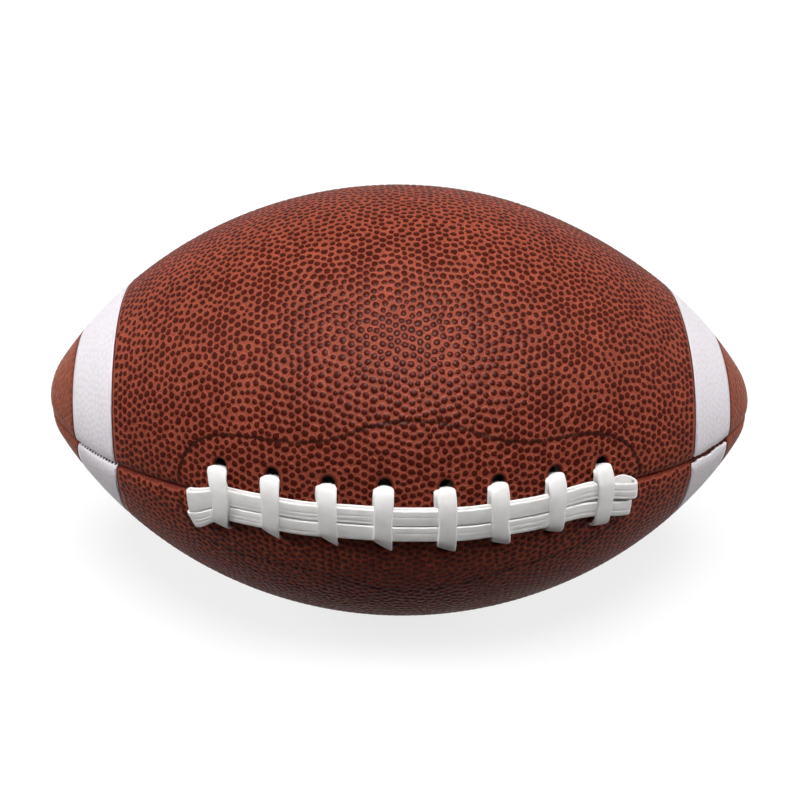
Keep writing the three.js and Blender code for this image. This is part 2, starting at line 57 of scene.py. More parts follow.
LACE_SEAM, TOP_SEAM, BACK_SEAM, BOTTOM_SEAM = 0.0, 112.0, 195.0, 278.0
# What sewing moved, by how much, round which place and over what reach: the lace seam off a straight line,
# the right stripe askew, by degrees round the ball, and the cover slack above that stripe.
SEAM_STRAY = ((3.3, 74, 25), (-1.0, 125, 25), (-4.7, -127, 35))
STRAY_GIRTH, STRAY_FADE = 25, (0.2, 0.95)
STRIPE_SKEW, SKEW_ALONG = ((2.3, -5, 32), (-2.9, 85, 32)), (116, 26)
SLACK_DEPTH, SLACK_ALONG, SLACK_ROUND = 1.1, (80, 40), (105, 40)

arc_drop = PROFILE_RADIUS - DIAMETER / 2
nose_radius = (PROFILE_RADIUS**2 - arc_drop**2 - LENGTH**2 / 4) / (2 * PROFILE_RADIUS - LENGTH)
nose_centre = LENGTH / 2 - nose_radius
body_tilt = math.atan2(nose_centre, arc_drop)
body_arc = PROFILE_RADIUS * body_tilt
tip_arc = body_arc + nose_radius * (math.pi / 2 - body_tilt - math.asin(TIP_RADIUS / nose_radius))


def profile(arc, depth=0.0):
    """Axial place and radius of the ball at an arc length from its middle, along the cover's face."""
    run = np.abs(arc)
    tilt = np.minimum(run, body_arc) / PROFILE_RADIUS
    turn = math.pi / 2 - body_tilt - np.maximum(run - body_arc, 0) / nose_radius
    on_body = run <= body_arc
    along = np.where(on_body, (PROFILE_RADIUS - depth) * np.sin(tilt),
                     nose_centre + (nose_radius - depth) * np.cos(turn))
    radius = np.where(on_body, (PROFILE_RADIUS - depth) * np.cos(tilt) - arc_drop,
                      (nose_radius - depth) * np.sin(turn))
    return np.sign(arc) * along, radius


def arc_at(x):
    """Arc length from the middle at an axial place."""
    along = np.abs(x)
    on_body = PROFILE_RADIUS * np.arcsin(np.minimum(along, PROFILE_RADIUS) / PROFILE_RADIUS)
    turn = np.arccos(np.clip((along - nose_centre) / nose_radius, -1, 1))
    on_nose = body_arc + nose_radius * (math.pi / 2 - body_tilt - turn)
    return np.sign(x) * np.where(on_body <= body_arc, on_body, on_nose)


def ease(value, start, end):
    share = np.clip((value - start) / (end - start), 0, 1)
    return share * share * (3 - 2 * share)


def swell(value, middle, reach):
    return np.exp(-(((value - middle) / reach) ** 2))


def on_ball(arc, angle, lift):
    """Points at an arc along the ball, an angle round it from the lace seam, and a height over its face."""
    x, girth = profile(arc)
    turn = np.degrees((angle + math.pi) % math.tau - math.pi)
    stray = sum(shift * swell(x, *place) for shift, *place in SEAM_STRAY)
    skew = sum(shift * swell(turn, *place) for shift, *place in STRIPE_SKEW) * swell(x, *SKEW_ALONG)
    slack = SLACK_DEPTH * swell(x, *SLACK_ALONG) * swell(turn, *SLACK_ROUND)
    angle = angle + stray / np.maximum(girth, STRAY_GIRTH) * ease(np.cos(angle), *STRAY_FADE)
    along, radius = profile(arc + skew, -np.asarray(lift, float) + slack)
    return np.stack([along + 0 * angle, -radius * np.cos(angle), radius * np.sin(angle)], -1)


# The ball's face unrolled so that small shapes keep their form, for triangulating points on it.
table_arc = np.linspace(-tip_arc, tip_arc, 12001)
table_step = np.diff(table_arc) / profile((table_arc[1:] + table_arc[:-1]) / 2)[1]
table_run = np.concatenate([[0], np.cumsum(table_step)])
INSIDE_EDGES, SAME_POINT = 1, 1e-9


def triangulate(points, edges):
    """Triangles over points given as arc and angle, inside the outline that edges close."""
    run = np.interp(points[:, 0], table_arc, table_run)
    flat = [Vector(place) for place in zip(run.tolist(), points[:, 1].tolist())]
    made = delaunay_2d_cdt(flat, edges, [], INSIDE_EDGES, SAME_POINT, False)
    assert len(made[0]) == len(points)
    triangles = np.array(made[2])
    closed = [min(edge) * len(points) + max(edge) for edge in edges]
    # Some bridge a hollow outside the outline: each with an open side that is no edge goes, then the next.
    while True:
        sides = np.sort(np.stack([triangles, np.roll(triangles, -1, 1)], 2), 2) @ [len(points), 1]
        side, uses = np.unique(sides, return_counts=True)
        stray = np.isin(sides, np.setdiff1d(side[uses == 1], closed)).any(1)
        if not stray.any():
            assert np.isin(closed, side).all()
            return triangles
        triangles = triangles[~stray]


SEAM_HALF_GAP = 0.14
SEAM_TIP_SHARE = 0.12
SEAM_ROUND = 1.6
SEAM_VALLEY = 1.0
SEAM_REACH = 6.5
SEAM_STEP = 1.3
LEAST_STEP, NOSE_STEP_SHARE = 0.12, 0.3
EDGE_FADE_RADIUS = 12.0


def sewn_gap(arc):
    return SEAM_HALF_GAP + 0 * arc


def seam_gap(arc, gap):
    """Half the gap of a seam, which closes up towards the tips."""
    return np.minimum(gap(arc), SEAM_TIP_SHARE * profile(arc)[1])


def seam_distance(points, seams):
    """How far points lie from the plane of their nearer seam."""
    nearer = np.minimum(points[:, 1] - seams[0], seams[1] - points[:, 1])
    return profile(points[:, 0])[1] * np.sin(np.clip(nearer, 0, math.pi / 2))


def edge_drop(points, seams):
    """How far the cover has turned down beside a seam."""
    round_here = SEAM_ROUND * np.minimum(1, profile(points[:, 0])[1] / EDGE_FADE_RADIUS)
    reach = seam_gap(points[:, 0], sewn_gap) + round_here
    away = seam_distance(points, seams)
    inset = np.clip(reach - away, 0, round_here)
    valley = SEAM_VALLEY * np.clip(1 - away / SEAM_REACH, 0, 1) ** 2 * round_here / SEAM_ROUND
    return round_here - np.sqrt(round_here**2 - inset**2) + valley


def seam_rows(span, step):
    """Arc lengths along a seam, closer together on the noses."""
    rows = [span[0]]
    while rows[-1] < span[1]:
        on_nose = max(LEAST_STEP, NOSE_STEP_SHARE * float(profile(rows[-1])[1]))
        rows.append(rows[-1] + min(step, on_nose))
    return np.interp(rows, [span[0], rows[-1]], span)


def across(arc, seams, gap, step):
    """Points across a sheet at one place along the ball."""
    radius = float(profile(arc)[1])
    inset = math.asin(float(seam_gap(arc, gap)) / radius)
    count = max(3, int((seams[1] - seams[0]) * radius / step))
    angle = np.linspace(seams[0] + inset, seams[1] - inset, count + 1)
    return np.stack([np.full(count + 1, arc), angle], 1)


def beside_seams(rows, seams, gap, away=0):
    """Points along both seams of a sheet, a distance in from its edges."""
    inset = np.arcsin((seam_gap(rows, gap) + away) / profile(rows)[1])
    return [np.stack([rows, angle], 1) for angle in (seams[0] + inset, seams[1] - inset)]


def sheet_outline(rows, span, seams, gap):
    """The outline of a sheet: along its first seam, over its far end, and back along the second."""
    near, far = beside_seams(rows, seams, gap)
    start, end = (across(arc, seams, gap, SEAM_STEP)[1:-1] for arc in span)
    return np.concatenate([near, end, far[::-1], start[::-1]])


def ring(hole, grow, count):
    """An oval round a hole's middle, in millimetres along the ball and round it."""
    arc, angle, long, wide = hole
    turn = np.arange(count) * math.tau / count
    return np.stack([arc + (long + grow) * np.cos(turn),
                     angle + (wide + grow) * np.sin(turn) / float(profile(arc)[1])], 1)


def in_holes(points, holes, grow):
    """Which points lie in a hole made larger all round."""
    found = np.zeros(len(points), bool)
    for arc, angle, long, wide in holes:
        along = (points[:, 0] - arc) / (long + grow)
        around = (points[:, 1] - angle) * float(profile(arc)[1]) / (wide + grow)
        found |= along**2 + around**2 < 1
    return found


def closed_edges(loops):
    """Edges that close each loop of points, numbered on from loop to loop."""
    edges, base = [], 0
    for loop in loops:
        edges += [(base + k, base + (k + 1) % len(loop)) for k in range(len(loop))]
        base += len(loop)
    return edges


def without_holes(triangles, loops):
    """Leaves out triangles that span a hole, with all corners on one loop after the outline."""
    loop_of = np.repeat(np.arange(len(loops)), [len(loop) for loop in loops])
    owner = np.where(triangles < len(loop_of), loop_of[np.minimum(triangles, len(loop_of) - 1)], 0)
    return triangles[(owner != owner[:, :1]).any(1) | (owner[:, 0] == 0)]


NO_LINE = np.zeros((0, 2))
FAR = 9.0


def beside_line(points, line):
    """How far points lie from the places along a line."""
    nearest = np.full(len(points), FAR)
    for arc, angle in line:
        around = (points[:, 1] - angle) * profile(arc)[1]
        nearest = np.minimum(nearest, np.hypot(points[:, 0] - arc, around))
    return nearest


# Pebbles sit in loose rows that settle between their neighbours. Each is a low dome of two rings, and
# PEBBLE_SIDE gives the height over the cover's face by how far up its side a point lies.
PEBBLE_PITCH, NOSE_PITCH = 2.97, 2.4
ROW_SHARE, LOOSE_SHARE = 0.866, 0.22
SETTLE_ROUNDS, SETTLE_PULL = 16, 0.8
PEBBLE_SHARE, PEBBLE_SPREAD, LEAST_PEBBLE = 0.455, 0.06, 0.3
NEIGHBOUR_SHARE, EDGE_SHARE, EDGE_CLEAR = 0.465, 0.9, 0.1
FOOT_CLEAR = 1.06
OVAL_SPREAD, OVAL_MOST, OVAL_TURN = 0.06, 0.09, 2.7
PEBBLE_RINGS = ((7, 0.83, 0.8), (7, 1.0, 0.2))
PEBBLE_SIDE = ((0, -0.21), (0.2, -0.17), (0.8, -0.01), (1, 0.04))
NOSE_RELIEF = 0.5


def scatter(span, seams, pitch, draw):
    """Places of pebbles in loose rows over a stretch of a panel."""
    rows = []
    for arc in np.arange(span[0] + pitch / 2, span[1], pitch * ROW_SHARE):
        count = int((seams[1] - seams[0]) * float(profile(arc)[1]) / pitch)
        angle = seams[0] + (np.arange(count) + draw.random()) * (seams[1] - seams[0]) / max(count, 1)
        rows.append(np.stack([np.full(count, arc), angle], 1))
    points = np.concatenate(rows)
    loose = draw.normal(0, LOOSE_SHARE * pitch, points.shape)
    return points + loose / np.stack([np.ones(len(points)), profile(points[:, 0])[1]], 1)


def settle(pebbles, fixed, edges, clear):
    """Evens pebbles out between their neighbours, and gives the triangles between them."""
    for _ in range(SETTLE_ROUNDS):
        everything = np.concatenate([fixed, pebbles])
        corners = triangulate(everything, edges)
        places = everything[corners]
        scale = profile(places[:, :, 0].mean(1))[1]
        sides = (places[:, 1:] - places[:, :1]) * np.stack([np.ones(len(scale)), scale], 1)[:, None]
        area = np.abs(sides[:, 0, 0] * sides[:, 1, 1] - sides[:, 0, 1] * sides[:, 1, 0])[:, None]
        total = np.zeros((len(everything), 3))
        for k in range(3):
            np.add.at(total, corners[:, k], np.concatenate([places.mean(1) * area, area], 1))
        middle = total[len(fixed):, :2] / np.maximum(total[len(fixed):, 2:], 1e-9)
        moved = pebbles + SETTLE_PULL * (middle - pebbles)
        pebbles = np.where(clear(moved)[:, None], moved, pebbles)
    return pebbles, triangulate(np.concatenate([fixed, pebbles]), edges)


def pebble_sizes(pebbles, fixed, corners, draw):
    """Radius of each pebble's foot, from the room that its neighbours leave."""
    everything = np.concatenate([fixed, pebbles])
    pairs = np.concatenate([corners[:, [a, b]] for a in range(3) for b in range(3) if a != b])
    pairs = pairs[pairs[:, 0] >= len(fixed)]
    apart = everything[pairs[:, 1]] - everything[pairs[:, 0]]
    apart = np.hypot(apart[:, 0], apart[:, 1] * profile(everything[pairs[:, 0], 0])[1])
    own, to_pebble = pairs[:, 0] - len(fixed), pairs[:, 1] >= len(fixed)
    spread = np.zeros((len(pebbles), 2))
    np.add.at(spread, own[to_pebble], np.stack([apart, np.ones(len(apart))], 1)[to_pebble])
    mean = np.where(spread[:, 1] > 0, spread[:, 0] / np.maximum(spread[:, 1], 1), PEBBLE_PITCH)
    most = np.full(len(pebbles), FAR)
    np.minimum.at(most, own, np.where(to_pebble, NEIGHBOUR_SHARE * apart, EDGE_SHARE * apart - EDGE_CLEAR))
    size = PEBBLE_SHARE * mean * draw.normal(1, PEBBLE_SPREAD, len(pebbles))
    return np.clip(size, LEAST_PEBBLE, np.maximum(most, LEAST_PEBBLE))


def outside_pebbles(points, pebbles, size):
    """Which points lie clear of every pebble's foot."""
    tree = KDTree(len(pebbles))
    for k, (arc, angle) in enumerate(pebbles):
        tree.insert((np.interp(arc, table_arc, table_run), angle, 0), k)
    tree.balance()
    found = [tree.find((np.interp(arc, table_arc, table_run), angle, 0))[1:] for arc, angle in points]
    nearest, apart = (np.array(part) for part in zip(*found))
    return apart * profile(points[:, 0])[1] > FOOT_CLEAR * size[nearest]


def raise_pebbles(pebbles, size, draw):
    """Points of each pebble, its top and the rings down its side, with their share of its height."""
    radius = profile(pebbles[:, 0])[1]
    twist = draw.random(len(pebbles)) * math.tau
    oval = np.clip(draw.normal(0, OVAL_SPREAD, len(pebbles)), -OVAL_MOST, OVAL_MOST)
    points, heights = [pebbles], [1.0]
    for sides, share, height in PEBBLE_RINGS:
        for k in range(sides):
            turn = twist + math.tau * k / sides
            reach = share * size * (1 + oval * np.cos(2 * (turn - OVAL_TURN * twist)))
            points.append(pebbles + np.stack([reach * np.cos(turn), reach * np.sin(turn) / radius], 1))
            heights.append(height)
    return np.concatenate(points), np.repeat(heights, len(pebbles))


# Room that pebbles leave beside seams, holes and stripes, and that the valleys leave beside a sewn line.
SEAM_ROOM, HOLE_ROOM, STEP_ROOM, THREAD_ROOM = 0.9, 0.7, 0.8, 0.4
ROUND_ROWS, ROUND_RADIUS = (0.25, 0.6, 1.1), 5
HOLE_SIDES, HOLE_ROUND, HOLE_ROUND_SIDES, HOLE_SINK = 18, 0.6, 22, 0.35
GROOVE_DEPTH = 0.3
# How far up a pebble plain places and bare rows count for colour, and the tone of what is no pebble.
# On the leather these paint the seam edges, hole rims, stripe steps and stitch groove dark, as painted shade.
PLAIN_SHADE, ROW_SHADE, PLAIN_TONE = 0.7, 0.5, 0.5


def pebbled_face(fixed, edges, rows, span, seams, gap, zones, steps, holes, groove, draw):
    """Points over a sheet's face, each with its share of a pebble's height, its shade, tone and sink."""
    def clear(points):
        radius = profile(points[:, 0])[1]
        edge = (gap(points[:, 0]) + SEAM_ROOM) * np.minimum(1, radius / EDGE_FADE_RADIUS)
        free = (seam_distance(points, seams) > edge) & ~in_holes(points, holes, HOLE_ROOM)
        free &= (points[:, 0] > span[0] + STEP_ROOM) & (points[:, 0] < span[1] - STEP_ROOM)
        for step in steps:
            free &= np.abs(points[:, 0] - step) > STEP_ROOM
        return free

    pebbles = np.concatenate([scatter(zone, seams, pitch, draw) for *zone, pitch in zones])
    pebbles, corners = settle(pebbles[clear(pebbles)], fixed, edges, clear)
    size = pebble_sizes(pebbles, fixed, corners, draw)
    raised, height = raise_pebbles(pebbles, size, draw)

    # Low places between the pebbles: the valleys, rows beside seams and holes, and the sewn line.
    between = corners[(corners >= len(fixed)).sum(1) >= 2]
    low = [np.concatenate([fixed, pebbles])[between].mean(1)]
    valleys = len(low[0])
    low += [ring(hole, HOLE_ROUND, HOLE_ROUND_SIDES) for hole in holes]
    wide_rows = rows[1:-1][profile(rows[1:-1])[1] > ROUND_RADIUS]
    for away in ROUND_ROWS:
        low += beside_seams(wide_rows, seams, gap, away)
    low = np.concatenate(low)
    shade = np.where(np.arange(len(low)) < valleys, 0, ROW_SHADE)
    kept = outside_pebbles(low, pebbles, size) & (beside_line(low, groove) > THREAD_ROOM)
    low, shade = low[kept], shade[kept]
    line = groove[outside_pebbles(groove, pebbles, size)] if len(groove) else groove

    face = np.concatenate([fixed, raised, low, line])
    rest = len(low) + len(line)
    shade = np.concatenate([np.full(len(fixed), PLAIN_SHADE), height, shade, np.full(len(line), PLAIN_SHADE)])
    height = np.concatenate([np.zeros(len(fixed)), height, np.zeros(rest)])
    tone = np.tile(draw.random(len(pebbles)), len(raised) // len(pebbles))
    tone = np.concatenate([np.full(len(fixed), PLAIN_TONE), tone, np.full(rest, PLAIN_TONE)])
    sunk = np.repeat([0, GROOVE_DEPTH], [len(face) - len(line), len(line)])
    return face, height, shade, tone, sunk


STEP_HALF = 0.04
BACK_STEP, BACK_ROOM, BACK_EDGE, BACK_HOLE_ROOM = 9, 6, 3, 1
# Where the face, the back and the walls lie on the sheet's unwrapped map.
MAP_MARGIN, FACE_MAP, BACK_MAP, WALL_MAP, HOLE_MAP = 0.03, (0.04, 0.88), (0.93, 0.99), 0.009, 0.6


def embossed_sheet(name, span, seams, gap, thickness, zones, relief, seed, rim=0.0, steps=(), recess=0.0,
                   holes=(), groove=NO_LINE, seam_step=SEAM_STEP):
    """A closed sheet on the ball between two seams, with pebbles raised over its face."""
    seams = np.radians(seams)
    rows = seam_rows(span, seam_step)
    outline = sheet_outline(rows, span, seams, gap)
    loops = [outline] + [ring(hole, 0, HOLE_SIDES) for hole in holes]
    edges = closed_edges(loops)
    brinks = [step + side for step in steps for side in (-STEP_HALF, STEP_HALF)]
    fixed = np.concatenate(loops + [across(arc, seams, gap, SEAM_STEP)[1:-1] for arc in brinks])
    face, height, shade, tone, sunk = pebbled_face(fixed, edges, rows, span, seams, gap, zones, steps, holes,
                                                   groove, np.random.default_rng(seed))
    triangles = without_holes(triangulate(face, edges), loops)
    soft = np.where(np.abs(face[:, 0]) > stripe_arcs[1], NOSE_RELIEF, 1) * relief
    lift = np.interp(height, *zip(*PEBBLE_SIDE)) * soft - edge_drop(face, seams) - sunk
    lift[len(outline):len(edges)] -= HOLE_SINK
    for first, last in zip(steps[::2], steps[1::2]):
        lift -= np.where((face[:, 0] > first) & (face[:, 0] < last), recess, 0)

    # The back of the sheet, and the foot of its edges, which turn in beside a seam.
    fade = np.minimum(1, profile(outline[:, 0])[1] / EDGE_FADE_RADIUS) * (rim > 0)
    inward = np.sign(seams.mean() - outline[:, 1]) * thickness * fade / profile(outline[:, 0])[1]
    back_outline = outline + np.stack([0 * inward, inward], 1)
    grid = np.concatenate([across(arc, seams, lambda at: gap(at) + BACK_EDGE, BACK_STEP)[1:-1]
                           for arc in np.arange(span[0] + BACK_ROOM, span[1] - BACK_ROOM, BACK_STEP)
                           if profile(arc)[1] > BACK_STEP])
    back = np.concatenate([back_outline, *loops[1:], grid[~in_holes(grid, holes, BACK_HOLE_ROOM)]])
    back_triangles = without_holes(triangulate(back, edges), loops)[:, ::-1]
    back_lift = -thickness - (np.zeros(len(back)) if rim else edge_drop(back, seams))
    foot_lift = -thickness - (rim - thickness) * fade if rim else lift[:len(outline)] - thickness / 2
    vertices = [on_ball(*face.T, lift), on_ball(*outline.T, foot_lift), on_ball(*back.T, back_lift)]

    def on_map(place, around):
        share = (place - [span[0], seams[0]]) / [span[1] - span[0], seams[1] - seams[0]]
        return [MAP_MARGIN, around[0]] + share * [1 - 2 * MAP_MARGIN, around[1] - around[0]]

    face_map, back_map = on_map(face, FACE_MAP), on_map(back, BACK_MAP)
    ends = np.select([outline[:, 0] <= span[0] + 1e-6, outline[:, 0] >= span[1] - 1e-6], [-1, 1], 0)
    out = WALL_MAP * np.stack([ends, np.sign(outline[:, 1] - seams.mean())], 1)
    foot_base, back_base = len(face), len(face) + len(outline)
    faces = [triangles, back_triangles + back_base]
    maps = [face_map[triangles], back_map[back_triangles]]

    def wall(top, foot, top_map, foot_map):
        for made, *pair in ((faces, top, foot), (maps, top_map, foot_map)):
            corners = pair + [np.roll(part, -1, 0) for part in pair]
            made += [np.stack([corners[k] for k in order], 1) for order in ((0, 1, 3), (0, 3, 2))]

    top = np.arange(len(outline))
    wall(top, foot_base + top, face_map[top], face_map[top] + out)
    wall(foot_base + top, back_base + top, face_map[top] + out, face_map[top] + 2 * out)
    for k in range(len(holes)):
        top = np.arange(len(outline) + HOLE_SIDES * k, len(outline) + HOLE_SIDES * (k + 1))[::-1]
        middle = face_map[top].mean(0)
        wall(top, back_base + top, face_map[top], middle + HOLE_MAP * (face_map[top] - middle))
    behind = len(outline) + len(back)
    return piece_of(name, np.concatenate(vertices), np.concatenate(faces).tolist(), np.concatenate(maps),
                    pebble=np.append(shade, np.full(behind, PLAIN_SHADE)),
                    tone=np.append(tone, np.full(behind, PLAIN_TONE)),
                    sewn=np.append(beside_line(face, groove), np.full(behind, FAR)) * MM,
                    reach=np.abs(np.concatenate([face, outline, back])[:, 0]) * MM)


def piece_of(name, vertices, faces, maps=None, **attributes):
    """A smooth-shaded piece of the ball from points in millimetres."""
    mesh = bpy.data.meshes.new(name)
    mesh.from_pydata((vertices * MM).tolist(), [], faces)
    if maps is not None:
        mesh.uv_layers.new(name="OFBake").uv.foreach_set("vector", maps.astype(np.float32).ravel())
    for key, values in attributes.items():
        mesh.attributes.new(key, "FLOAT", "POINT").data.foreach_set("value", values.astype(np.float32))
    mesh.polygons.foreach_set("use_smooth", np.ones(len(mesh.polygons), bool))
    piece = bpy.data.objects.new(name, mesh)
    bpy.context.scene.collection.objects.link(piece)
    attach(piece, "root")
    return piece


def stands_in(piece, node, material):
    """Puts a piece with its finish in the place of a node of the frame."""
    piece.data.materials.append(material)
    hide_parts(node)


def srgb(code):
    """A hex colour as linear light, with full opacity."""
    parts = [int(code[k:k + 2], 16) / 255 for k in (1, 3, 5)]
    return [p / 12.92 if p <= 0.04045 else ((p + 0.055) / 1.055) ** 2.4 for p in parts] + [1.0]


def wire(tree, node, inputs):
    """Links or sets the inputs of a node."""
    for key, value in inputs.items():
        if isinstance(value, bpy.types.NodeSocket):
            tree.links.new(value, node.inputs[key])
        else:
            node.inputs[key].default_value = value


def add(tree, kind, inputs=None, stops=(), **settings):
    """Adds a node with its settings, its links or values, and its colour stops."""
    made = tree.nodes.new(kind)
    for key, value in settings.items():
        setattr(made, key, value)
    wire(tree, made, inputs or {})
    for k, (place, colour) in enumerate(stops):
        marks = made.color_ramp.elements
        mark = marks[k] if k < len(marks) else marks.new(place)
        mark.position, mark.color = place, srgb(colour)
    return made


def place_on(tree):
    return add(tree, "ShaderNodeTexCoord").outputs["Object"]


def attribute(tree, name):
    return add(tree, "ShaderNodeAttribute", attribute_name=name).outputs["Fac"]


def noise(tree, size, detail=2.0):
    """Noise with grains of about a size in millimetres."""
    inputs = {"Vector": place_on(tree), "Scale": 1 / (size * MM), "Detail": detail}
    return add(tree, "ShaderNodeTexNoise", inputs).outputs["Fac"]


def combine(tree, operation, *values):
    return add(tree, "ShaderNodeMath", dict(enumerate(values)), operation=operation).outputs[0]


def ranged(tree, value, results, ends=(0.0, 1.0)):
    """Brings a value between two ends to between two results."""
    names = ("Value", "From Min", "From Max", "To Min", "To Max")
    return add(tree, "ShaderNodeMapRange", dict(zip(names, (value, *ends, *results)))).outputs[0]


def ramp(tree, share, *stops):
    return add(tree, "ShaderNodeValToRGB", {"Fac": share}, stops).outputs["Color"]


def blend(tree, share, first, second, kind="MIX"):
    inputs = {0: share, 6: first, 7: second}
    return add(tree, "ShaderNodeMix", inputs, data_type="RGBA", blend_type=kind).outputs[2]


def bumped(tree, height, strength, depth):
    """The surface's tilt under a relief of a depth in millimetres."""
    inputs = {"Height": height, "Strength": strength, "Distance": depth * MM}
    return add(tree, "ShaderNodeBump", inputs).outputs[0]


def finish(name, build):
    """A material with one principled shader, whose inputs a function works out."""
    material = bpy.data.materials.new(name)
    material.use_nodes = True
    tree = material.node_tree
    wire(tree, tree.nodes["Principled BSDF"], build(tree))
    return material


# Composite leather: polyurethane over a fabric base, embossed by a hot plate that leaves the tops of the
# pebbles dark and a little glossy, and the sides and valleys between them paler, redder and dull.
NOSE_SHEEN_FADE, EDGE_SHADE_FADE, EDGE_SHADE_RAGGED = 3, 0.4, 0.9
STITCH_SHADE_BAND, STITCH_SHADE_RAGGED = (1.3, 1.85), 1.6


def embossed_leather(tree):
    pebble, reach = attribute(tree, "pebble"), attribute(tree, "reach")
    colour = ramp(tree, pebble, (0.0, "#8d3f2d"), (0.22, "#a3533f"), (0.5, "#753124"), (0.7, "#4d1a11"),
                  (0.8, "#451509"), (1.0, "#4d1a11"))
    # The noses are plainer, as hardly any pebble is left in the stretched cover, and painted paler as sheen.
    nose_plain_sheen = ranged(tree, reach, (0.0, 0.9), (stripe_arcs[1] * MM, (stripe_arcs[1] + NOSE_SHEEN_FADE) * MM))
    colour = blend(tree, nose_plain_sheen, colour, srgb("#8f4f3c"))
    # A dark ragged margin is painted beside each stripe as the shadow line at its step.
    ragged = noise(tree, 2)
    half = (stripe_arcs[1] - stripe_arcs[0]) / 2
    off = combine(tree, "ABSOLUTE", combine(tree, "SUBTRACT", reach, sum(stripe_arcs) / 2 * MM))
    edge = combine(tree, "MULTIPLY_ADD", ragged, -EDGE_SHADE_RAGGED * MM, off)
    stripe_edge_shade = ranged(tree, edge, (0.9, 0.0), (half * MM, (half + EDGE_SHADE_FADE) * MM))
    colour = blend(tree, stripe_edge_shade, colour, srgb("#4f1c13"))
    # An uneven dark band is painted along the facing stitches as the shade of the groove they sink into.
    from_stitches = combine(tree, "MULTIPLY_ADD", ragged, STITCH_SHADE_RAGGED * MM, attribute(tree, "sewn"))
    stitch_shade = ranged(tree, from_stitches, (0.9, 0.0), [end * MM for end in STITCH_SHADE_BAND])
    colour = blend(tree, stitch_shade, colour, srgb("#34130c"))
    # The finish varies in broad patches, and from pebble to pebble.
    patch = ranged(tree, noise(tree, 35, 3.0), (0.85, 1.15))
    speck = ranged(tree, attribute(tree, "tone"), (0.82, 1.18))
    colour = blend(tree, 1.0, colour, combine(tree, "MULTIPLY", patch, speck), "MULTIPLY")
    return {"Base Color": colour, "Roughness": ranged(tree, pebble, (0.55, 0.34)),
            "Normal": bumped(tree, noise(tree, 0.35, 3.0), 0.25, 0.1),
            "Specular IOR Level": 0.035, "Specular Tint": srgb("#ffcec8")}


COVER_THICKNESS = 1.8
SEAM_DEPTH = 3.4
STRIPE_RECESS = 0.8
ZONE_ROOM, TIP_ROOM = 0.6, 4
CROSS_COUNT = 8
CROSS_PITCH = 19.2
CROSS_CENTRE = 1.75
# How far each crossing of the lace strays along the seam from an even pitch at its upper hole, how far it has
# moved along from there over the seam and at its lower hole, and how far its two holes sit below their place.
CROSS_STRAY = (0.45, -0.15, 0.05, 0.15, 1.85, 0.75, 1.55, -0.25)
CROSS_SWING = ((1.65, 0.5), (0.4, -0.1), (0.4, 0.5), (-0.3, -0.3), (0.6, 0.65), (0.3, 1.5), (0.4, 0.4),
               (0.5, 0.2))
CROSS_DROP = ((0.1, 0.6), (-0.2, -0.3), (0.1, -0.9), (-0.4, -0.2), (0.0, 1.3), (-0.35, 0.5), (0.4, 0.1),
              (2.5, 3.9))
UPPER_HOLE, LOWER_HOLE = 13.3, -10.2
HOLE_LONG, UPPER_WIDE, LOWER_WIDE = 2.5, 2.9, 2.1
VALVE_ANGLE = (TOP_SEAM + BACK_SEAM) / 2
VALVE_HOLE = 4.45
# The line where a lace facing is sewn on is level, with a swell over the middle of the lace and rounded ends.
FACING_CENTRE, FACING_HALF_LENGTH, FACING_START = 1.7, 82.8, 0.07
FACING_RISE, FACING_SWELL, SWELL_CENTRE, SWELL_REACH, SWELL_POWER = 26.4, 10.3, 2.0, 26, 2.6
LEFT_END_POWER, RIGHT_END_POWER = 9, 5.5
GROOVE_POINTS = 190

stripe_arcs = [float(arc_at(x)) for x in (STRIPE_INNER, STRIPE_OUTER)]
stripe_steps = [-stripe_arcs[1], -stripe_arcs[0], stripe_arcs[0], stripe_arcs[1]]
brown_zones = [(-stripe_arcs[0] + ZONE_ROOM, stripe_arcs[0] - ZONE_ROOM, PEBBLE_PITCH),
               (-tip_arc + TIP_ROOM, -stripe_arcs[1] - ZONE_ROOM, NOSE_PITCH),
               (stripe_arcs[1] + ZONE_ROOM, tip_arc - TIP_ROOM, NOSE_PITCH)]
cross_even = (np.arange(CROSS_COUNT) - (CROSS_COUNT - 1) / 2) * CROSS_PITCH
cross_x = CROSS_CENTRE + cross_even + np.array(CROSS_STRAY)
cross_low = cross_x + np.array(CROSS_SWING)[:, 1]


def hole_at(x, away, turns, wide):
    """A lace hole at an axial place and a distance round the ball from the lace seam."""
    arc = float(arc_at(x))
    return arc, away / float(profile(arc)[1]) + turns, HOLE_LONG, wide


def facing_line(side, count):
    """Places along the line where a lace facing is sewn on, above the lace seam or below it."""
    turn = np.linspace(FACING_START, math.pi - FACING_START, count)
    x = FACING_CENTRE - FACING_HALF_LENGTH * np.cos(turn)
    rise = FACING_RISE + FACING_SWELL * np.exp(-np.abs((x - SWELL_CENTRE) / SWELL_REACH) ** SWELL_POWER)
    power = np.where(x > FACING_CENTRE, RIGHT_END_POWER, LEFT_END_POWER)
    away = rise * np.sqrt(1 - np.abs((x - FACING_CENTRE) / FACING_HALF_LENGTH) ** power)
    arc = arc_at(x)
    return np.stack([arc, side * away / profile(arc)[1] + (math.tau if side < 0 else 0)], 1)


upper_holes = [hole_at(x, UPPER_HOLE - drop[0], 0, UPPER_WIDE) for x, drop in zip(cross_x, CROSS_DROP)]
lower_holes = [hole_at(x, LOWER_HOLE - drop[1], math.tau, LOWER_WIDE)
               for x, drop in zip(cross_low, CROSS_DROP)]
valve_hole = (0.0, math.radians(VALVE_ANGLE), VALVE_HOLE, VALVE_HOLE)
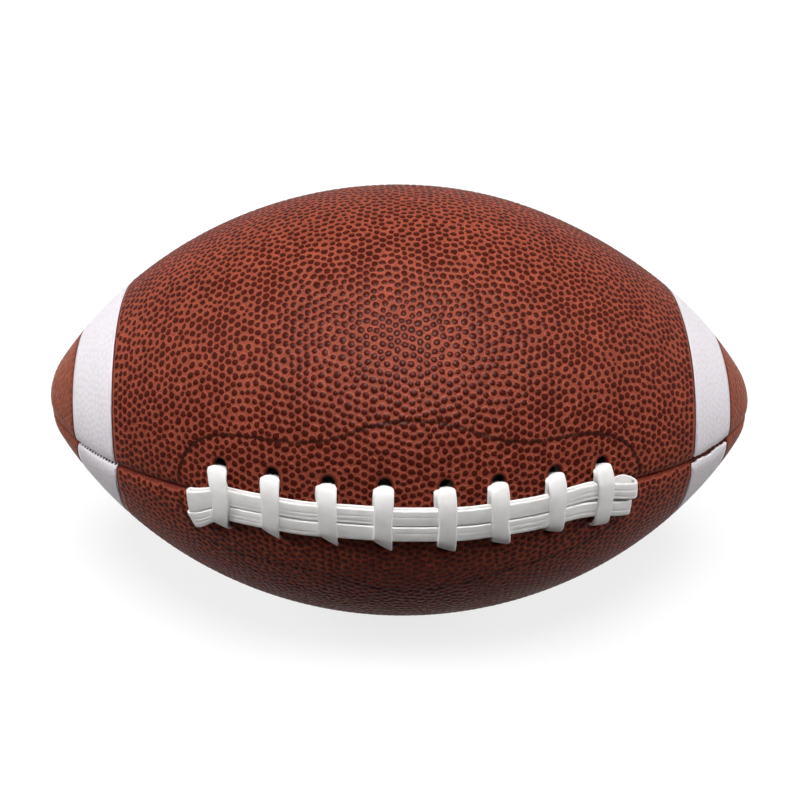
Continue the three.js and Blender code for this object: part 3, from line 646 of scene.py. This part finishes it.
# Each panel's name, its seams, its holes and, where a facing is sewn on, the facing's line.
PANELS = [("front_upper", (LACE_SEAM, TOP_SEAM), upper_holes, facing_line(1, GROOVE_POINTS)),
          ("back_upper", (TOP_SEAM, BACK_SEAM), [valve_hole], NO_LINE),
          ("back_lower", (BACK_SEAM, BOTTOM_SEAM), [], NO_LINE),
          ("front_lower", (BOTTOM_SEAM, 360), lower_holes, facing_line(-1, GROOVE_POINTS))]
cover_leather = finish("embossed composite leather", embossed_leather)
for order, (side, seams, holes, groove) in enumerate(PANELS):
    panel = embossed_sheet(
        "cover_" + side, (-tip_arc, tip_arc), seams, sewn_gap, COVER_THICKNESS, brown_zones, 1.0, order + 1,
        rim=SEAM_DEPTH, steps=stripe_steps, recess=STRIPE_RECESS, holes=holes, groove=groove)
    stands_in(panel, "panel_" + side, cover_leather)

# Stripe films
# Eight bands of white polyurethane film, heat-pressed into a shallow recess near both ends of each panel. The
# pebble shows through faintly. Stitches draw the left films' edges in, and the right ones are cut back.
FILM_THICKNESS = 0.9
FILM_RELIEF = 0.15
FILM_PITCH = 2.5
FILM_CLEAR = 0.14
FILM_SEAM_STEP = 0.3
FILM_STITCH = 1.8
FILM_SEED = 11


# Polyurethane film: cool white with a satin face, faint dust patches, and painted shade greying the pebble
# hollows.
def white_film(tree):
    tint = ramp(tree, attribute(tree, "pebble"), (0.0, "#ece5e8"), (0.5, "#f2edf3"), (1.0, "#f4eff6"))
    dust = ranged(tree, noise(tree, 6, 4.0), (0.92, 1.03))
    return {"Base Color": blend(tree, 1.0, tint, dust, "MULTIPLY"), "Roughness": 0.5,
            "Normal": bumped(tree, noise(tree, 0.5, 3.0), 0.3, 0.12), "Specular IOR Level": 0.15}


def drawn_in(arc):
    return 0.13 + 0.42 * (0.5 + 0.5 * np.cos(math.tau * arc / FILM_STITCH)) ** 1.5


def cut_back(arc):
    return 1.6 + 0.3 * np.sin(0.5 * arc) + 0.15 * np.sin(1.9 * arc)


film = finish("white polyurethane film", white_film)
low, high = stripe_arcs[0] + FILM_CLEAR, stripe_arcs[1] - FILM_CLEAR
for end, span, edge in (("left", (-high, -low), drawn_in), ("right", (low, high), cut_back)):
    for order, (side, seams, *_) in enumerate(PANELS):
        stripe = embossed_sheet(
            f"film_{end}_{side}", span, seams, edge, FILM_THICKNESS, [(*span, FILM_PITCH)], FILM_RELIEF,
            order + FILM_SEED, seam_step=FILM_SEAM_STEP)
        stands_in(stripe, f"stripe_{end}_{side}", film)

# Seam threads
# Waxed polyester lock stitch that pulls each pair of panel edges together from inside. Its bars lie deep in
# the seam, over the thread that they lock round. Over the left stripes it comes through to the outside.
SEAM_STITCH = 2.1
SEAM_BAR_DEPTH, SEAM_BED_DEPTH = 2.2, 2.8
BAR_LONG, BAR_WIDE, BAR_SAG = 0.45, 0.62, 0.3
BAR_LEAST_RADIUS = 6
CLOSING_REACH, CLOSING_LONG, CLOSING_PROUD, CLOSING_BITE = 0.75, 0.3, 0.1, 0.5
# Radius of a thread and the length over which its strands wind round by a third.
BED_THREAD, BAR_THREAD, CLOSING_THREAD = (0.35, 1.2), (0.26, 0.8), (0.24, 0.8)
THREAD_SIDES = 6
STRANDS, STRAND_BULGE = 3, 0.16


def sweep(rings, closed=False):
    """Vertices and faces of a solid through rings of points, capped unless it closes on itself."""
    count, sides = rings.shape[:2]
    index = np.arange(count * sides).reshape(count, sides)
    here, ahead = (index, np.roll(index, -1, 0)) if closed else (index[:-1], index[1:])
    faces = np.stack([here, np.roll(here, -1, 1), np.roll(ahead, -1, 1), ahead], -1).reshape(-1, 4).tolist()
    if not closed:
        faces += [index[0][::-1].tolist(), index[-1].tolist()]
    return rings.reshape(-1, 3), faces


def thread(path, outward, size, sides=THREAD_SIDES):
    """A solid thread along a path, with strands that bulge as they wind round it."""
    thick, lay = size
    ahead = np.gradient(path, axis=0)
    run = np.cumsum(np.linalg.norm(ahead, axis=1))
    ahead /= np.linalg.norm(ahead, axis=1)[:, None]
    aside = np.cross(ahead, outward)
    aside /= np.linalg.norm(aside, axis=1)[:, None]
    up = np.cross(aside, ahead)
    turn = np.arange(sides) * math.tau / sides
    wind = STRANDS * (turn[None] - math.tau * run[:, None] / (STRANDS * lay))
    reach = thick * (1 + STRAND_BULGE * np.cos(wind))
    return sweep(path[:, None] + (reach * np.cos(turn))[..., None] * aside[:, None]
                 + (reach * np.sin(turn))[..., None] * up[:, None])


def joined(solids):
    """One mesh's vertices and faces from several solids."""
    vertices, faces, base = [], [], 0
    for points, sides in solids:
        vertices.append(points)
        faces += [[base + k for k in side] for side in sides]
        base += len(points)
    return np.concatenate(vertices), faces


def solid_piece(name, solids, node, material, slot, **attributes):
    """A piece made of closed solids, with every face turned to point out, in the place of a node."""
    piece = piece_of(name, *joined(solids), **attributes)
    shape = bmesh.new()
    shape.from_mesh(piece.data)
    bmesh.ops.recalc_face_normals(shape, faces=shape.faces)
    shape.to_mesh(piece.data)
    shape.free()
    stands_in(piece, node, material)


# Waxed thread: dark brown and dull, with fine fibres.
def waxed_thread(tree):
    fibre = noise(tree, 0.3, 4.0)
    return {"Base Color": ramp(tree, fibre, (0.3, "#1e0c08"), (0.55, "#2a120b"), (0.8, "#3a1a10")),
            "Roughness": 0.7, "Normal": bumped(tree, fibre, 0.4, 0.08), "Specular IOR Level": 0.04}


def sewn_seam(node, seam):
    """The thread of one seam, over the stretch that the frame gives it."""
    first, last = (float(arc_at(corner[0] / MM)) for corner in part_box(node))
    places = np.arange(first, last, 1.0)
    angle = math.radians(seam)
    bed = on_ball(places, angle + 0 * places, -SEAM_BED_DEPTH)
    solids = [thread(bed, on_ball(places, angle + 0 * places, 0) - bed, BED_THREAD)]
    step = np.linspace(-1, 1, 9)
    for arc in np.arange(first + 1, last - 1, SEAM_STITCH):
        radius = float(profile(arc)[1])
        if radius < BAR_LEAST_RADIUS:
            continue
        bar_arc = arc + BAR_LONG * step
        bar = on_ball(bar_arc, angle + BAR_WIDE * step / radius, -SEAM_BAR_DEPTH - BAR_SAG * step**2)
        solids.append(thread(bar, on_ball(bar_arc, angle + 0 * step, 0.0), BAR_THREAD))
    for arc in np.arange(max(first, -stripe_arcs[1] + 1), min(last, -stripe_arcs[0]), FILM_STITCH):
        bar_arc = arc + CLOSING_LONG * step
        turn = angle + CLOSING_REACH * step / float(profile(arc)[1])
        beside = np.stack([bar_arc, CLOSING_REACH * np.abs(step) / profile(bar_arc)[1]], 1)
        lift = CLOSING_PROUD - edge_drop(beside, (0, 2))
        lift = np.maximum(lift, lift.min() + CLOSING_BITE) - CLOSING_BITE * np.abs(step) ** 6
        bar = on_ball(bar_arc, turn, lift)
        solids.append(thread(bar, on_ball(bar_arc, turn, 3.0) - bar, CLOSING_THREAD))
    solid_piece(node + "_stitches", solids, node, sewing_thread, "sewing_thread")


sewing_thread = finish("waxed polyester thread", waxed_thread)
for place, seam in (("top", TOP_SEAM), ("back", BACK_SEAM), ("bottom", BOTTOM_SEAM), ("lace_left", LACE_SEAM),
                    ("lace_right", LACE_SEAM)):
    sewn_seam("seam_thread_" + place, seam)


# Linings and lace facings
# Three plies of woven cotton glued behind each panel so that it keeps its shape, and a darker patch of cloth
# behind each row of lace holes. All are cut flat and take the ball's curve when it is blown up.
def woven(warp, weft, thread_gap):
    """Plain weave: two sets of threads that cross, drawn a little coarser than life so that they show."""
    def build(tree):
        inputs = {"Scale": 1 / (20 * thread_gap * MM), "Distortion": 0.6, "Detail": 2.0}
        lines = [add(tree, "ShaderNodeTexWave", {"Vector": place_on(tree), **inputs},
                     bands_direction=axis).outputs["Fac"] for axis in ("X", "Z")]
        cross = combine(tree, "MULTIPLY", *lines)
        return {"Base Color": ramp(tree, cross, (0.0, weft), (0.7, warp)), "Roughness": 0.9,
                "Normal": bumped(tree, cross, 0.6, 0.15), "Specular IOR Level": 0.2}
    return build


def dress(node, material):
    """Gives a node of the frame its finish."""
    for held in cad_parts[node].material_slots:
        held.material = material


# The lining is coloured dark as painted shade: seen only through the holes, it stands in for the shade inside
# them.
lining_dark_as_shade = finish("woven cotton lining", woven("#5a4d40", "#3a3129", 0.7))
facing_cloth = finish("woven facing cloth", woven("#2b2622", "#171412", 0.6))
for side, *_ in PANELS:
    dress("lining_" + side, lining_dark_as_shade)
for side in ("upper", "lower"):
    dress("lace_facing_" + side, facing_cloth)

# Facing stitches
# One row of dark thread through cover, lining and facing, beside each row of lace holes. It is pulled down
# between the pebbles, so it shows as a dark line that wavers and breaks where it dips through the cover.
FACING_STITCH = 3.1
FACING_THREAD, FACING_SIDES = (0.28, 1.3), 9
FACING_DEPTH, FACING_DIP = 0.56, 0.2
for side, turn in (("upper", 1), ("lower", -1)):
    line = facing_line(turn, 1400)
    start = on_ball(line[:, 0], line[:, 1], 0.0)
    run = np.concatenate([[0], np.cumsum(np.linalg.norm(np.diff(start, axis=0), axis=1))])
    at = np.arange(0, run[-1], 0.3)
    arc, angle = (np.interp(at, run, line[:, k]) for k in range(2))
    waver = 0.28 * np.sin(at * 0.9) + 0.2 * np.sin(at * 0.37 + 1)
    angle = angle + waver / profile(arc)[1]
    path = on_ball(arc, angle, FACING_DIP * np.cos(math.tau * at / FACING_STITCH) - FACING_DEPTH)
    stitches = thread(path, on_ball(arc, angle, 3.0) - path, FACING_THREAD, FACING_SIDES)
    solid_piece("facing_thread_" + side, [stitches], "facing_stitch_" + side, sewing_thread, "sewing_thread")

# Bladder and valve
# A blown butyl bladder with a moulded rubber valve through the upper back panel: a flanged stem vulcanised to
# the bladder, and a soft plug in it with a slit that the inflating needle opens.
VALVE_STEM = 4.2
VALVE_BORE = 2.0
VALVE_FLANGE = 8.0
VALVE_LENGTH = 8.5
VALVE_PROUD = 0.15
FLANGE_TOP = -5.6
FLANGE_FOOT = -6.7
PLUG = VALVE_BORE - 0.2
VALVE_SIDES = 48


def moulded_rubber(tint_dark, tint_pale, rough):
    """Moulded rubber: near black, with a bloom of talc that leaves it patchy and dull."""
    def build(tree):
        tint = ramp(tree, noise(tree, 3, 5.0), (0.35, tint_dark), (0.75, tint_pale))
        return {"Base Color": tint, "Roughness": rough,
                "Normal": bumped(tree, noise(tree, 0.4, 3.0), 0.3, 0.08), "Specular IOR Level": 0.35}
    return build


def turned(name, node, outline):
    """A moulding turned about the valve's axis, from radius and height over the cover."""
    turn = np.arange(VALVE_SIDES) * math.tau / VALVE_SIDES
    angle = math.radians(VALVE_ANGLE)
    up = np.array([0, -math.cos(angle), math.sin(angle)])
    aside = np.array([0, math.sin(angle), math.cos(angle)])
    spoke = np.cos(turn)[:, None] * np.array([1.0, 0, 0]) + np.sin(turn)[:, None] * aside
    rings = np.stack([radius * spoke + (DIAMETER / 2 + height) * up for radius, height in outline])
    hollow = outline[0][0] > 0.1
    solid_piece(name, [sweep(rings, closed=hollow)], node, valve_rubber, "valve_rubber")


dress("bladder", finish("butyl rubber", moulded_rubber("#171615", "#2a2826", 0.65)))
valve_rubber = finish("moulded valve rubber", moulded_rubber("#131313", "#201f1e", 0.45))
turned("valve_stem", "valve_housing", [
    (VALVE_BORE, -VALVE_LENGTH), (VALVE_BORE, -0.5), (VALVE_BORE + 0.08, -0.1), (VALVE_BORE + 0.3, 0.1),
    (VALVE_BORE + 0.7, VALVE_PROUD), (VALVE_STEM - 0.8, VALVE_PROUD), (VALVE_STEM - 0.25, 0.05),
    (VALVE_STEM - 0.04, -0.25), (VALVE_STEM, -0.7), (VALVE_STEM, FLANGE_TOP + 0.6),
    (VALVE_STEM + 0.5, FLANGE_TOP), (VALVE_FLANGE - 0.4, FLANGE_TOP), (VALVE_FLANGE, FLANGE_TOP - 0.4),
    (VALVE_FLANGE - 0.2, FLANGE_FOOT + 0.2), (VALVE_STEM + 0.6, -VALVE_LENGTH + 0.3),
    (VALVE_STEM - 0.5, -VALVE_LENGTH)])
turned("valve_insert", "valve_plug", [
    (0.02, -11.5), (1.6, -11.2), (2.5, -10.4), (2.72, -9.6), (2.5, -9.0), (PLUG, -8.7), (PLUG, -1.0),
    (PLUG, -0.35), (PLUG - 0.25, -0.1), (1.1, 0.0), (0.62, -0.06), (0.45, -0.3), (0.4, -1.4), (0.02, -1.6)])


# Tongue
# A strip of moulded vinyl sheet between the lace and the bladder, which keeps the crossings from chafing it.
# The sheet is black-brown with a fine leather grain.
def vinyl_sheet(tree):
    inputs = {"Vector": place_on(tree), "Scale": 1 / (1.2 * MM)}
    grain = add(tree, "ShaderNodeTexVoronoi", inputs).outputs["Distance"]
    return {"Base Color": ramp(tree, grain, (0.0, "#26211e"), (0.8, "#15120f")), "Roughness": 0.6,
            "Normal": bumped(tree, grain, 0.4, 0.15), "Specular IOR Level": 0.3}


dress("tongue", finish("grained vinyl sheet", vinyl_sheet))

# Lace runs
# Two lengths of the lace, a flat tube of white vinyl, laid side by side along the seam under the crossings.
# Each is doubled: it runs out, turns in a loop past the last crossing and comes back beneath itself.
LACE_THICKNESS = 1.0
CREASE_DEPTH, CREASE_WIDTH, RIB_PITCH = 0.11, 0.3, 0.55
RUN_WIDTH, RUN_CROWN = 6.1, 0.14
RUN_REAR_LIFT, RUN_LAYER, RUN_SLACK = 0.95, 1.08, 0.12
RUN_LINE, RUN_SHIFT = 3.2, 0.5
PRESS_DEPTH, PRESS_REACH = 0.22, 3.4
# How far from its end a run opens into its loop, where that is done, and where its end begins to slant.
LOOP_FROM, LOOP_TO, SLANT_FROM = 13, 2, 9
PEEK_PLACE, PEEK_REACH = 4.5, 4


def by_lace(x, away, lift):
    """Points by the lace seam: axial place, distance round the ball from the seam, height over the cover."""
    arc = arc_at(np.asarray(x, float))
    return on_ball(arc, away / profile(arc)[1], lift)


def strip_sections(width, creases, crown):
    """Sections of a flat strip with soft edges and creases in its top: across it and over its middle."""
    half = (np.asarray(width, float)[:, None] - LACE_THICKNESS) / 2
    edge = np.linspace(0, math.pi, 9)[1:-1]
    top, foot = np.linspace(1, -1, 31), np.linspace(-1, 1, 9)
    aside = LACE_THICKNESS / 2 * np.sin(edge)
    over = LACE_THICKNESS / 2 * np.cos(edge)
    rows = len(half)
    across_it = np.concatenate([half * top, -half - aside, half * foot, half + aside[::-1]], 1)
    upper = LACE_THICKNESS / 2 + np.zeros((rows, len(top)))
    for centre, depth in creases:
        upper -= depth * swell(half * top, np.asarray(centre)[:, None], CREASE_WIDTH)
    up = np.concatenate([upper, np.tile(over, (rows, 1)), np.full((rows, len(foot)), -LACE_THICKNESS / 2),
                         np.tile(over[::-1], (rows, 1))], 1)
    return across_it, up + np.asarray(crown)[:, None] * (1 - (across_it / (half + LACE_THICKNESS / 2)) ** 2)


# Lace vinyl: clean white with a soft gloss, fine ribs along it and a trace of soil.
def lace_vinyl_look(tree):
    turn = combine(tree, "MULTIPLY", attribute(tree, "across"), math.tau / RIB_PITCH)
    ribs = combine(tree, "SINE", turn)
    tint = ramp(tree, noise(tree, 5, 4.0), (0.25, "#f0ecea"), (0.5, "#f8f6f5"), (0.8, "#fbfafa"))
    height = combine(tree, "MULTIPLY_ADD", ribs, 0.12, noise(tree, 0.45, 3.0))
    return {"Base Color": tint, "Roughness": 0.38, "Normal": bumped(tree, height, 0.25, 0.12),
            "Specular IOR Level": 0.2}


def lace_run(side, line, ends, loops, slants, creases, splays, flares, peek):
    """A doubled length of lace as one closed belt: outer layer, right loop, inner layer, left loop.

    Its ends splay down from the seam and flare, and the inner layer peeks out over the right loop."""
    left, right = ends
    x = np.linspace(left + loops[0] / 2, right - loops[1] / 2, 320)
    apart = RUN_LAYER + (loops[0] - RUN_LAYER) * ease(-x, -left - LOOP_FROM, -left - LOOP_TO)
    apart += (loops[1] - RUN_LAYER) * ease(x, right - LOOP_FROM, right - LOOP_TO)
    press = sum(swell(x, place + swing[0], PRESS_REACH) for place, swing in zip(cross_x, CROSS_SWING))
    outer = np.stack([x, RUN_REAR_LIFT + apart + RUN_SLACK - PRESS_DEPTH * press], 1)
    inner = np.stack([x[::-1], np.full(len(x), RUN_REAR_LIFT)], 1)
    bends = []
    for end, loop, turn in ((x[-1], loops[1], 1), (x[0], loops[0], -1)):
        angle = np.linspace(math.pi / 2, -math.pi / 2, 14)[1:-1] * turn
        rise = loop / 2 + (RUN_SLACK / 2 + loop / 2) * np.sin(angle)
        bends.append(np.stack([end + turn * loop / 2 * np.cos(angle), RUN_REAR_LIFT + rise], 1))
    path = np.concatenate([outer, bends[0], inner, bends[1]])
    along = path[:, 0]
    share = np.concatenate([np.zeros(len(x)), np.linspace(0, 1, 12), np.ones(len(x)), np.linspace(1, 0, 12)])
    ahead = np.roll(path, -1, 0) - np.roll(path, 1, 0)
    ahead /= np.linalg.norm(ahead, axis=1)[:, None]
    out = [ease(turn * along, start, end) for turn, (start, end, _) in zip((-1, 1), splays)]
    splay = sum(shift * share_out for share_out, (*_, shift) in zip(out, splays))
    splay += peek * share * swell(along, right - PEEK_PLACE, PEEK_REACH)
    wide = RUN_WIDTH + flares[0] * out[0] + flares[1] * out[1]
    waver = 0.2 * np.sin(along / 9.0 + line) + 0.1 * np.sin(along / 4.3)
    away = line + splay + waver + RUN_SHIFT * (share - 0.5)
    depth = CREASE_DEPTH * (1 - share)
    folds = [(centre + 0.3 * np.sin(along / 13 + 5 * centre),
              (depth * ease(np.sin(along / 17 + 9 * centre), -0.9, 0.5))[:, None]) for centre in creases]
    aside, up = strip_sections(wide, folds, RUN_CROWN * (1 - share))
    slant = slants[0] * ease(-along, -left - SLANT_FROM, -left)
    slant += slants[1] * ease(along, right - SLANT_FROM, right)
    place = path[:, :1] - up * ahead[:, 1:] + slant[:, None] * aside
    rings = by_lace(place, away[:, None] + aside, path[:, 1:] + up * ahead[:, :1])
    solid_piece("lace_band_" + side, [sweep(rings, closed=True)], "lace_run_" + side, lace_vinyl,
                "lace_vinyl", across=aside.ravel())


lace_vinyl = finish("white lace vinyl", lace_vinyl_look)
lace_run("upper", RUN_LINE, ends=(-75.8, 80.9), loops=(1.6, 2.6), slants=(-0.05, -0.1), creases=(0.3, -1.7),
         splays=((61, 76, -5.4), (60, 86, -4.4)), flares=(2.6, 0.4), peek=1.8)
lace_run("lower", -RUN_LINE, ends=(-75.0, 79.8), loops=(1.7, 1.6), slants=(-0.45, 0.0), creases=(0.7, -0.9),
         splays=((61, 76, -6.9), (57, 84, -5.2)), flares=(0.0, 0.2), peek=0.0)

# Lace crossings
# The same lace, laid over the runs from each upper hole to the hole across the seam. It narrows and rolls its
# edges under where it comes out of the upper hole, and folds aslant where it goes down into the lower one.
# Distance from the seam and height over the cover along the upper layer, and along the layer under its start.
CROSS_PATH = ((11.0, -5.5), (11.9, -2.8), (12.8, -1.0), (13.15, 0.25), (12.8, 1.1), (11.8, 1.75),
              (10.3, 2.35), (8.2, 2.95), (5.6, 3.32), (2.0, 3.42), (-2.0, 3.4), (-5.0, 3.25), (-7.2, 2.75),
              (-8.9, 1.75), (-9.9, 0.3), (-10.2, -1.6), (-10.3, -5.5))
REAR_PATH = ((9.9, -5.0), (10.8, -2.7), (11.95, -1.0), (12.4, 0.05), (12.1, 0.75), (10.9, 1.3), (8.6, 1.2),
             (6.0, 0.7))
# How wide each crossing is, how far the under layer shows at its left, and how the lower fold slants.
CROSS_WIDE = (6.1, 6.0, 6.2, 6.2, 6.2, 6.1, 5.8, 5.7)
REAR_SHOWS = (0.85, 0.7, 0.95, 0.7, 1.15, 0.9, 0.8, 0.65)
FOLD_SLANT = (-0.32, -0.55, -0.62, -0.68, -0.42, -0.36, -0.45, -0.22)
# For the upper and the under layer: its path, sections, where its pinch begins, and how far its edges roll.
LAYERS = ((CROSS_PATH, 96, 1.3, 0.35), (REAR_PATH, 40, 0.7, 0.1))
PINCH, FLAT_ROLL = 1.7, 0.12


def smooth_path(places, count):
    """Points spaced evenly along a smooth curve through a few places."""
    ends = np.array([places[0], *places, places[-1]], float)
    at = np.linspace(0, len(places) - 1, 40 * len(places))
    k = np.minimum(at.astype(int), len(places) - 2)
    f = (at - k)[:, None]
    a, b, c, d = (ends[k + step] for step in range(4))
    curve = (2 * b + (c - a) * f + (2 * a - 5 * b + 4 * c - d) * f**2 + (3 * b - a - 3 * c + d) * f**3) / 2
    run = np.concatenate([[0], np.cumsum(np.linalg.norm(np.diff(curve, axis=0), axis=1))])
    even = np.linspace(0, run[-1], count)
    return np.stack([np.interp(even, run, curve[:, axis]) for axis in range(2)], 1)


def crossing(path, middle, width, roll, slant):
    """A strip along a path of distance from the seam and height, with rolled edges and a slanted end."""
    ahead = np.gradient(path, axis=0)
    ahead /= np.linalg.norm(ahead, axis=1)[:, None]
    aside, up = strip_sections(width, [], 0 * width)
    up = up - roll[:, None] * (2 * aside / width[:, None]) ** 2
    away = path[:, :1] + up * ahead[:, 1:] + slant[:, None] * aside
    rings = by_lace(middle[:, None] + aside, away, path[:, 1:] - up * ahead[:, :1])
    return sweep(rings), aside.ravel()


strips = []
for k in range(CROSS_COUNT):
    over_seam, below = CROSS_SWING[k]
    for places, sections, pinch_lift, edge_roll in LAYERS:
        away, lift = smooth_path(places, sections).T
        middle = cross_x[k] + over_seam * ease(-away, -13.5, 0) + (below - over_seam) * ease(-away, 0, 8.5)
        if places is REAR_PATH:
            middle = middle - REAR_SHOWS[k] * ease(lift, -1.0, 0.5)
        pinch = PINCH * ease(-lift, -pinch_lift, 0.9) * (away > 5)
        width = CROSS_WIDE[k] - pinch + 0.4 * swell(away, 9.5, 3) + 0.35 * ease(-away, 2, 6)
        roll = FLAT_ROLL + edge_roll * ease(away, 9, 12.8)
        slant = FOLD_SLANT[k] * ease(-away, 4.5, 8.3)
        drop = CROSS_DROP[k][0] * ease(away, 2, 10) + CROSS_DROP[k][1] * ease(-away, 2, 8)
        strips.append(crossing(np.stack([away - drop, lift], 1), middle, width, roll, slant))
solids, asides = zip(*strips)
solid_piece("lace_crossings", solids, "lace_crosses", lace_vinyl, "lace_vinyl", across=np.concatenate(asides))

# Studio
# A pale floor under the ball, a soft lamp at each side and one overhead, and a pale surround. A last lamp
# over the camera shows only as gloss on the pebbles.
FLOOR_SIZE, FLOOR_DROP = 40, 0.4
bpy.ops.mesh.primitive_plane_add(size=FLOOR_SIZE, location=(0, 0, -(DIAMETER / 2 + FLOOR_DROP) * MM))
floor = bpy.context.object
floor.name = "floor"


def seen(tree):
    """1 where the surroundings are looked at, straight or reflected, and 0 where they only give light."""
    path = add(tree, "ShaderNodeLightPath").outputs
    looked = combine(tree, "MAXIMUM", path["Is Camera Ray"], path["Is Glossy Ray"])
    return combine(tree, "MAXIMUM", looked, path["Is Transmission Ray"])


# White paper: seen directly or in a reflection it is lit almost to white, and still keeps the ball's shadow.
paper = bpy.data.materials.new("white paper")
paper.use_nodes = True
tree = paper.node_tree
tree.nodes.clear()
sheet = add(tree, "ShaderNodeBsdfDiffuse", {"Color": srgb("#888888")})
glow = add(tree, "ShaderNodeEmission", {"Color": srgb("#ffffff"), "Strength": 0.78})
lit = add(tree, "ShaderNodeAddShader", {0: sheet.outputs[0], 1: glow.outputs[0]})
dim = add(tree, "ShaderNodeBsdfDiffuse", {"Color": srgb("#2a2521")})
mixed = add(tree, "ShaderNodeMixShader", {"Fac": seen(tree), 1: dim.outputs[0], 2: lit.outputs[0]})
add(tree, "ShaderNodeOutputMaterial", {"Surface": mixed.outputs[0]})
floor.data.materials.append(paper)

# Degrees round from the camera and up from the floor, strength, degrees that the lamp spans, and whether it
# lights the ball or only shows as gloss.
for name, side, height, strength, spread, lights in (
        ("left_lamp", -82, 31, 1.6, 25, True), ("right_lamp", 82, 28, 1.22, 25, True),
        ("top_lamp", 0, 70, 2.35, 25, True), ("gloss_lamp", 2, 58, 16.0, 14, False)):
    sun = bpy.data.lights.new(name, "SUN")
    sun.energy = strength
    sun.angle = math.radians(spread)
    lamp = bpy.data.objects.new(name, sun)
    lamp.visible_diffuse = lights
    lamp.rotation_euler = (math.radians(90 - height), 0, math.radians(side))
    bpy.context.scene.collection.objects.link(lamp)

world = bpy.data.worlds.new("studio")
bpy.context.scene.world = world
world.use_nodes = True
tree = world.node_tree
tree.nodes.clear()
surround = add(tree, "ShaderNodeBackground", {"Color": srgb("#ffffff"), "Strength": 0.04})
backdrop = add(tree, "ShaderNodeBackground", {"Color": srgb("#ffffff"), "Strength": 1.0})
mixed = add(tree, "ShaderNodeMixShader", {"Fac": seen(tree), 1: surround.outputs[0], 2: backdrop.outputs[0]})
add(tree, "ShaderNodeOutputWorld", {"Surface": mixed.outputs[0]})
bpy.context.scene.view_settings.view_transform = "Standard"

# Camera
# It stands about half a metre from the ball, above the lace and a touch to one side.
CAMERA_DISTANCE = 495.5
CAMERA_ABOVE = 0.5107
CAMERA_YAW = -0.028
CAMERA_ROLL = 0.0103
FOCAL_PIXELS = 1223.88
PICTURE_PIXELS = 800
AIM_PIXELS = (1.44, -0.04)
SENSOR = 36.0
to_view = (Matrix.Rotation(CAMERA_ROLL, 3, "Z") @ Matrix.Rotation(CAMERA_YAW, 3, "Y")
           @ Matrix(((1, 0, 0), (0, 0, -1), (0, 1, 0))) @ Matrix.Rotation(CAMERA_ABOVE, 3, "X"))
centre = Vector((*(CAMERA_DISTANCE / FOCAL_PIXELS * aim for aim in AIM_PIXELS), CAMERA_DISTANCE))
lens = bpy.data.cameras.new("camera")
lens.sensor_width = SENSOR
lens.lens = SENSOR * FOCAL_PIXELS / PICTURE_PIXELS
camera = bpy.data.objects.new("camera", lens)
facing = Matrix((to_view[0], -to_view[1], -to_view[2])).transposed()
camera.matrix_world = Matrix.Translation(-(to_view.transposed() @ centre) * MM) @ facing.to_4x4()
bpy.context.scene.collection.objects.link(camera)
bpy.context.scene.camera = camera
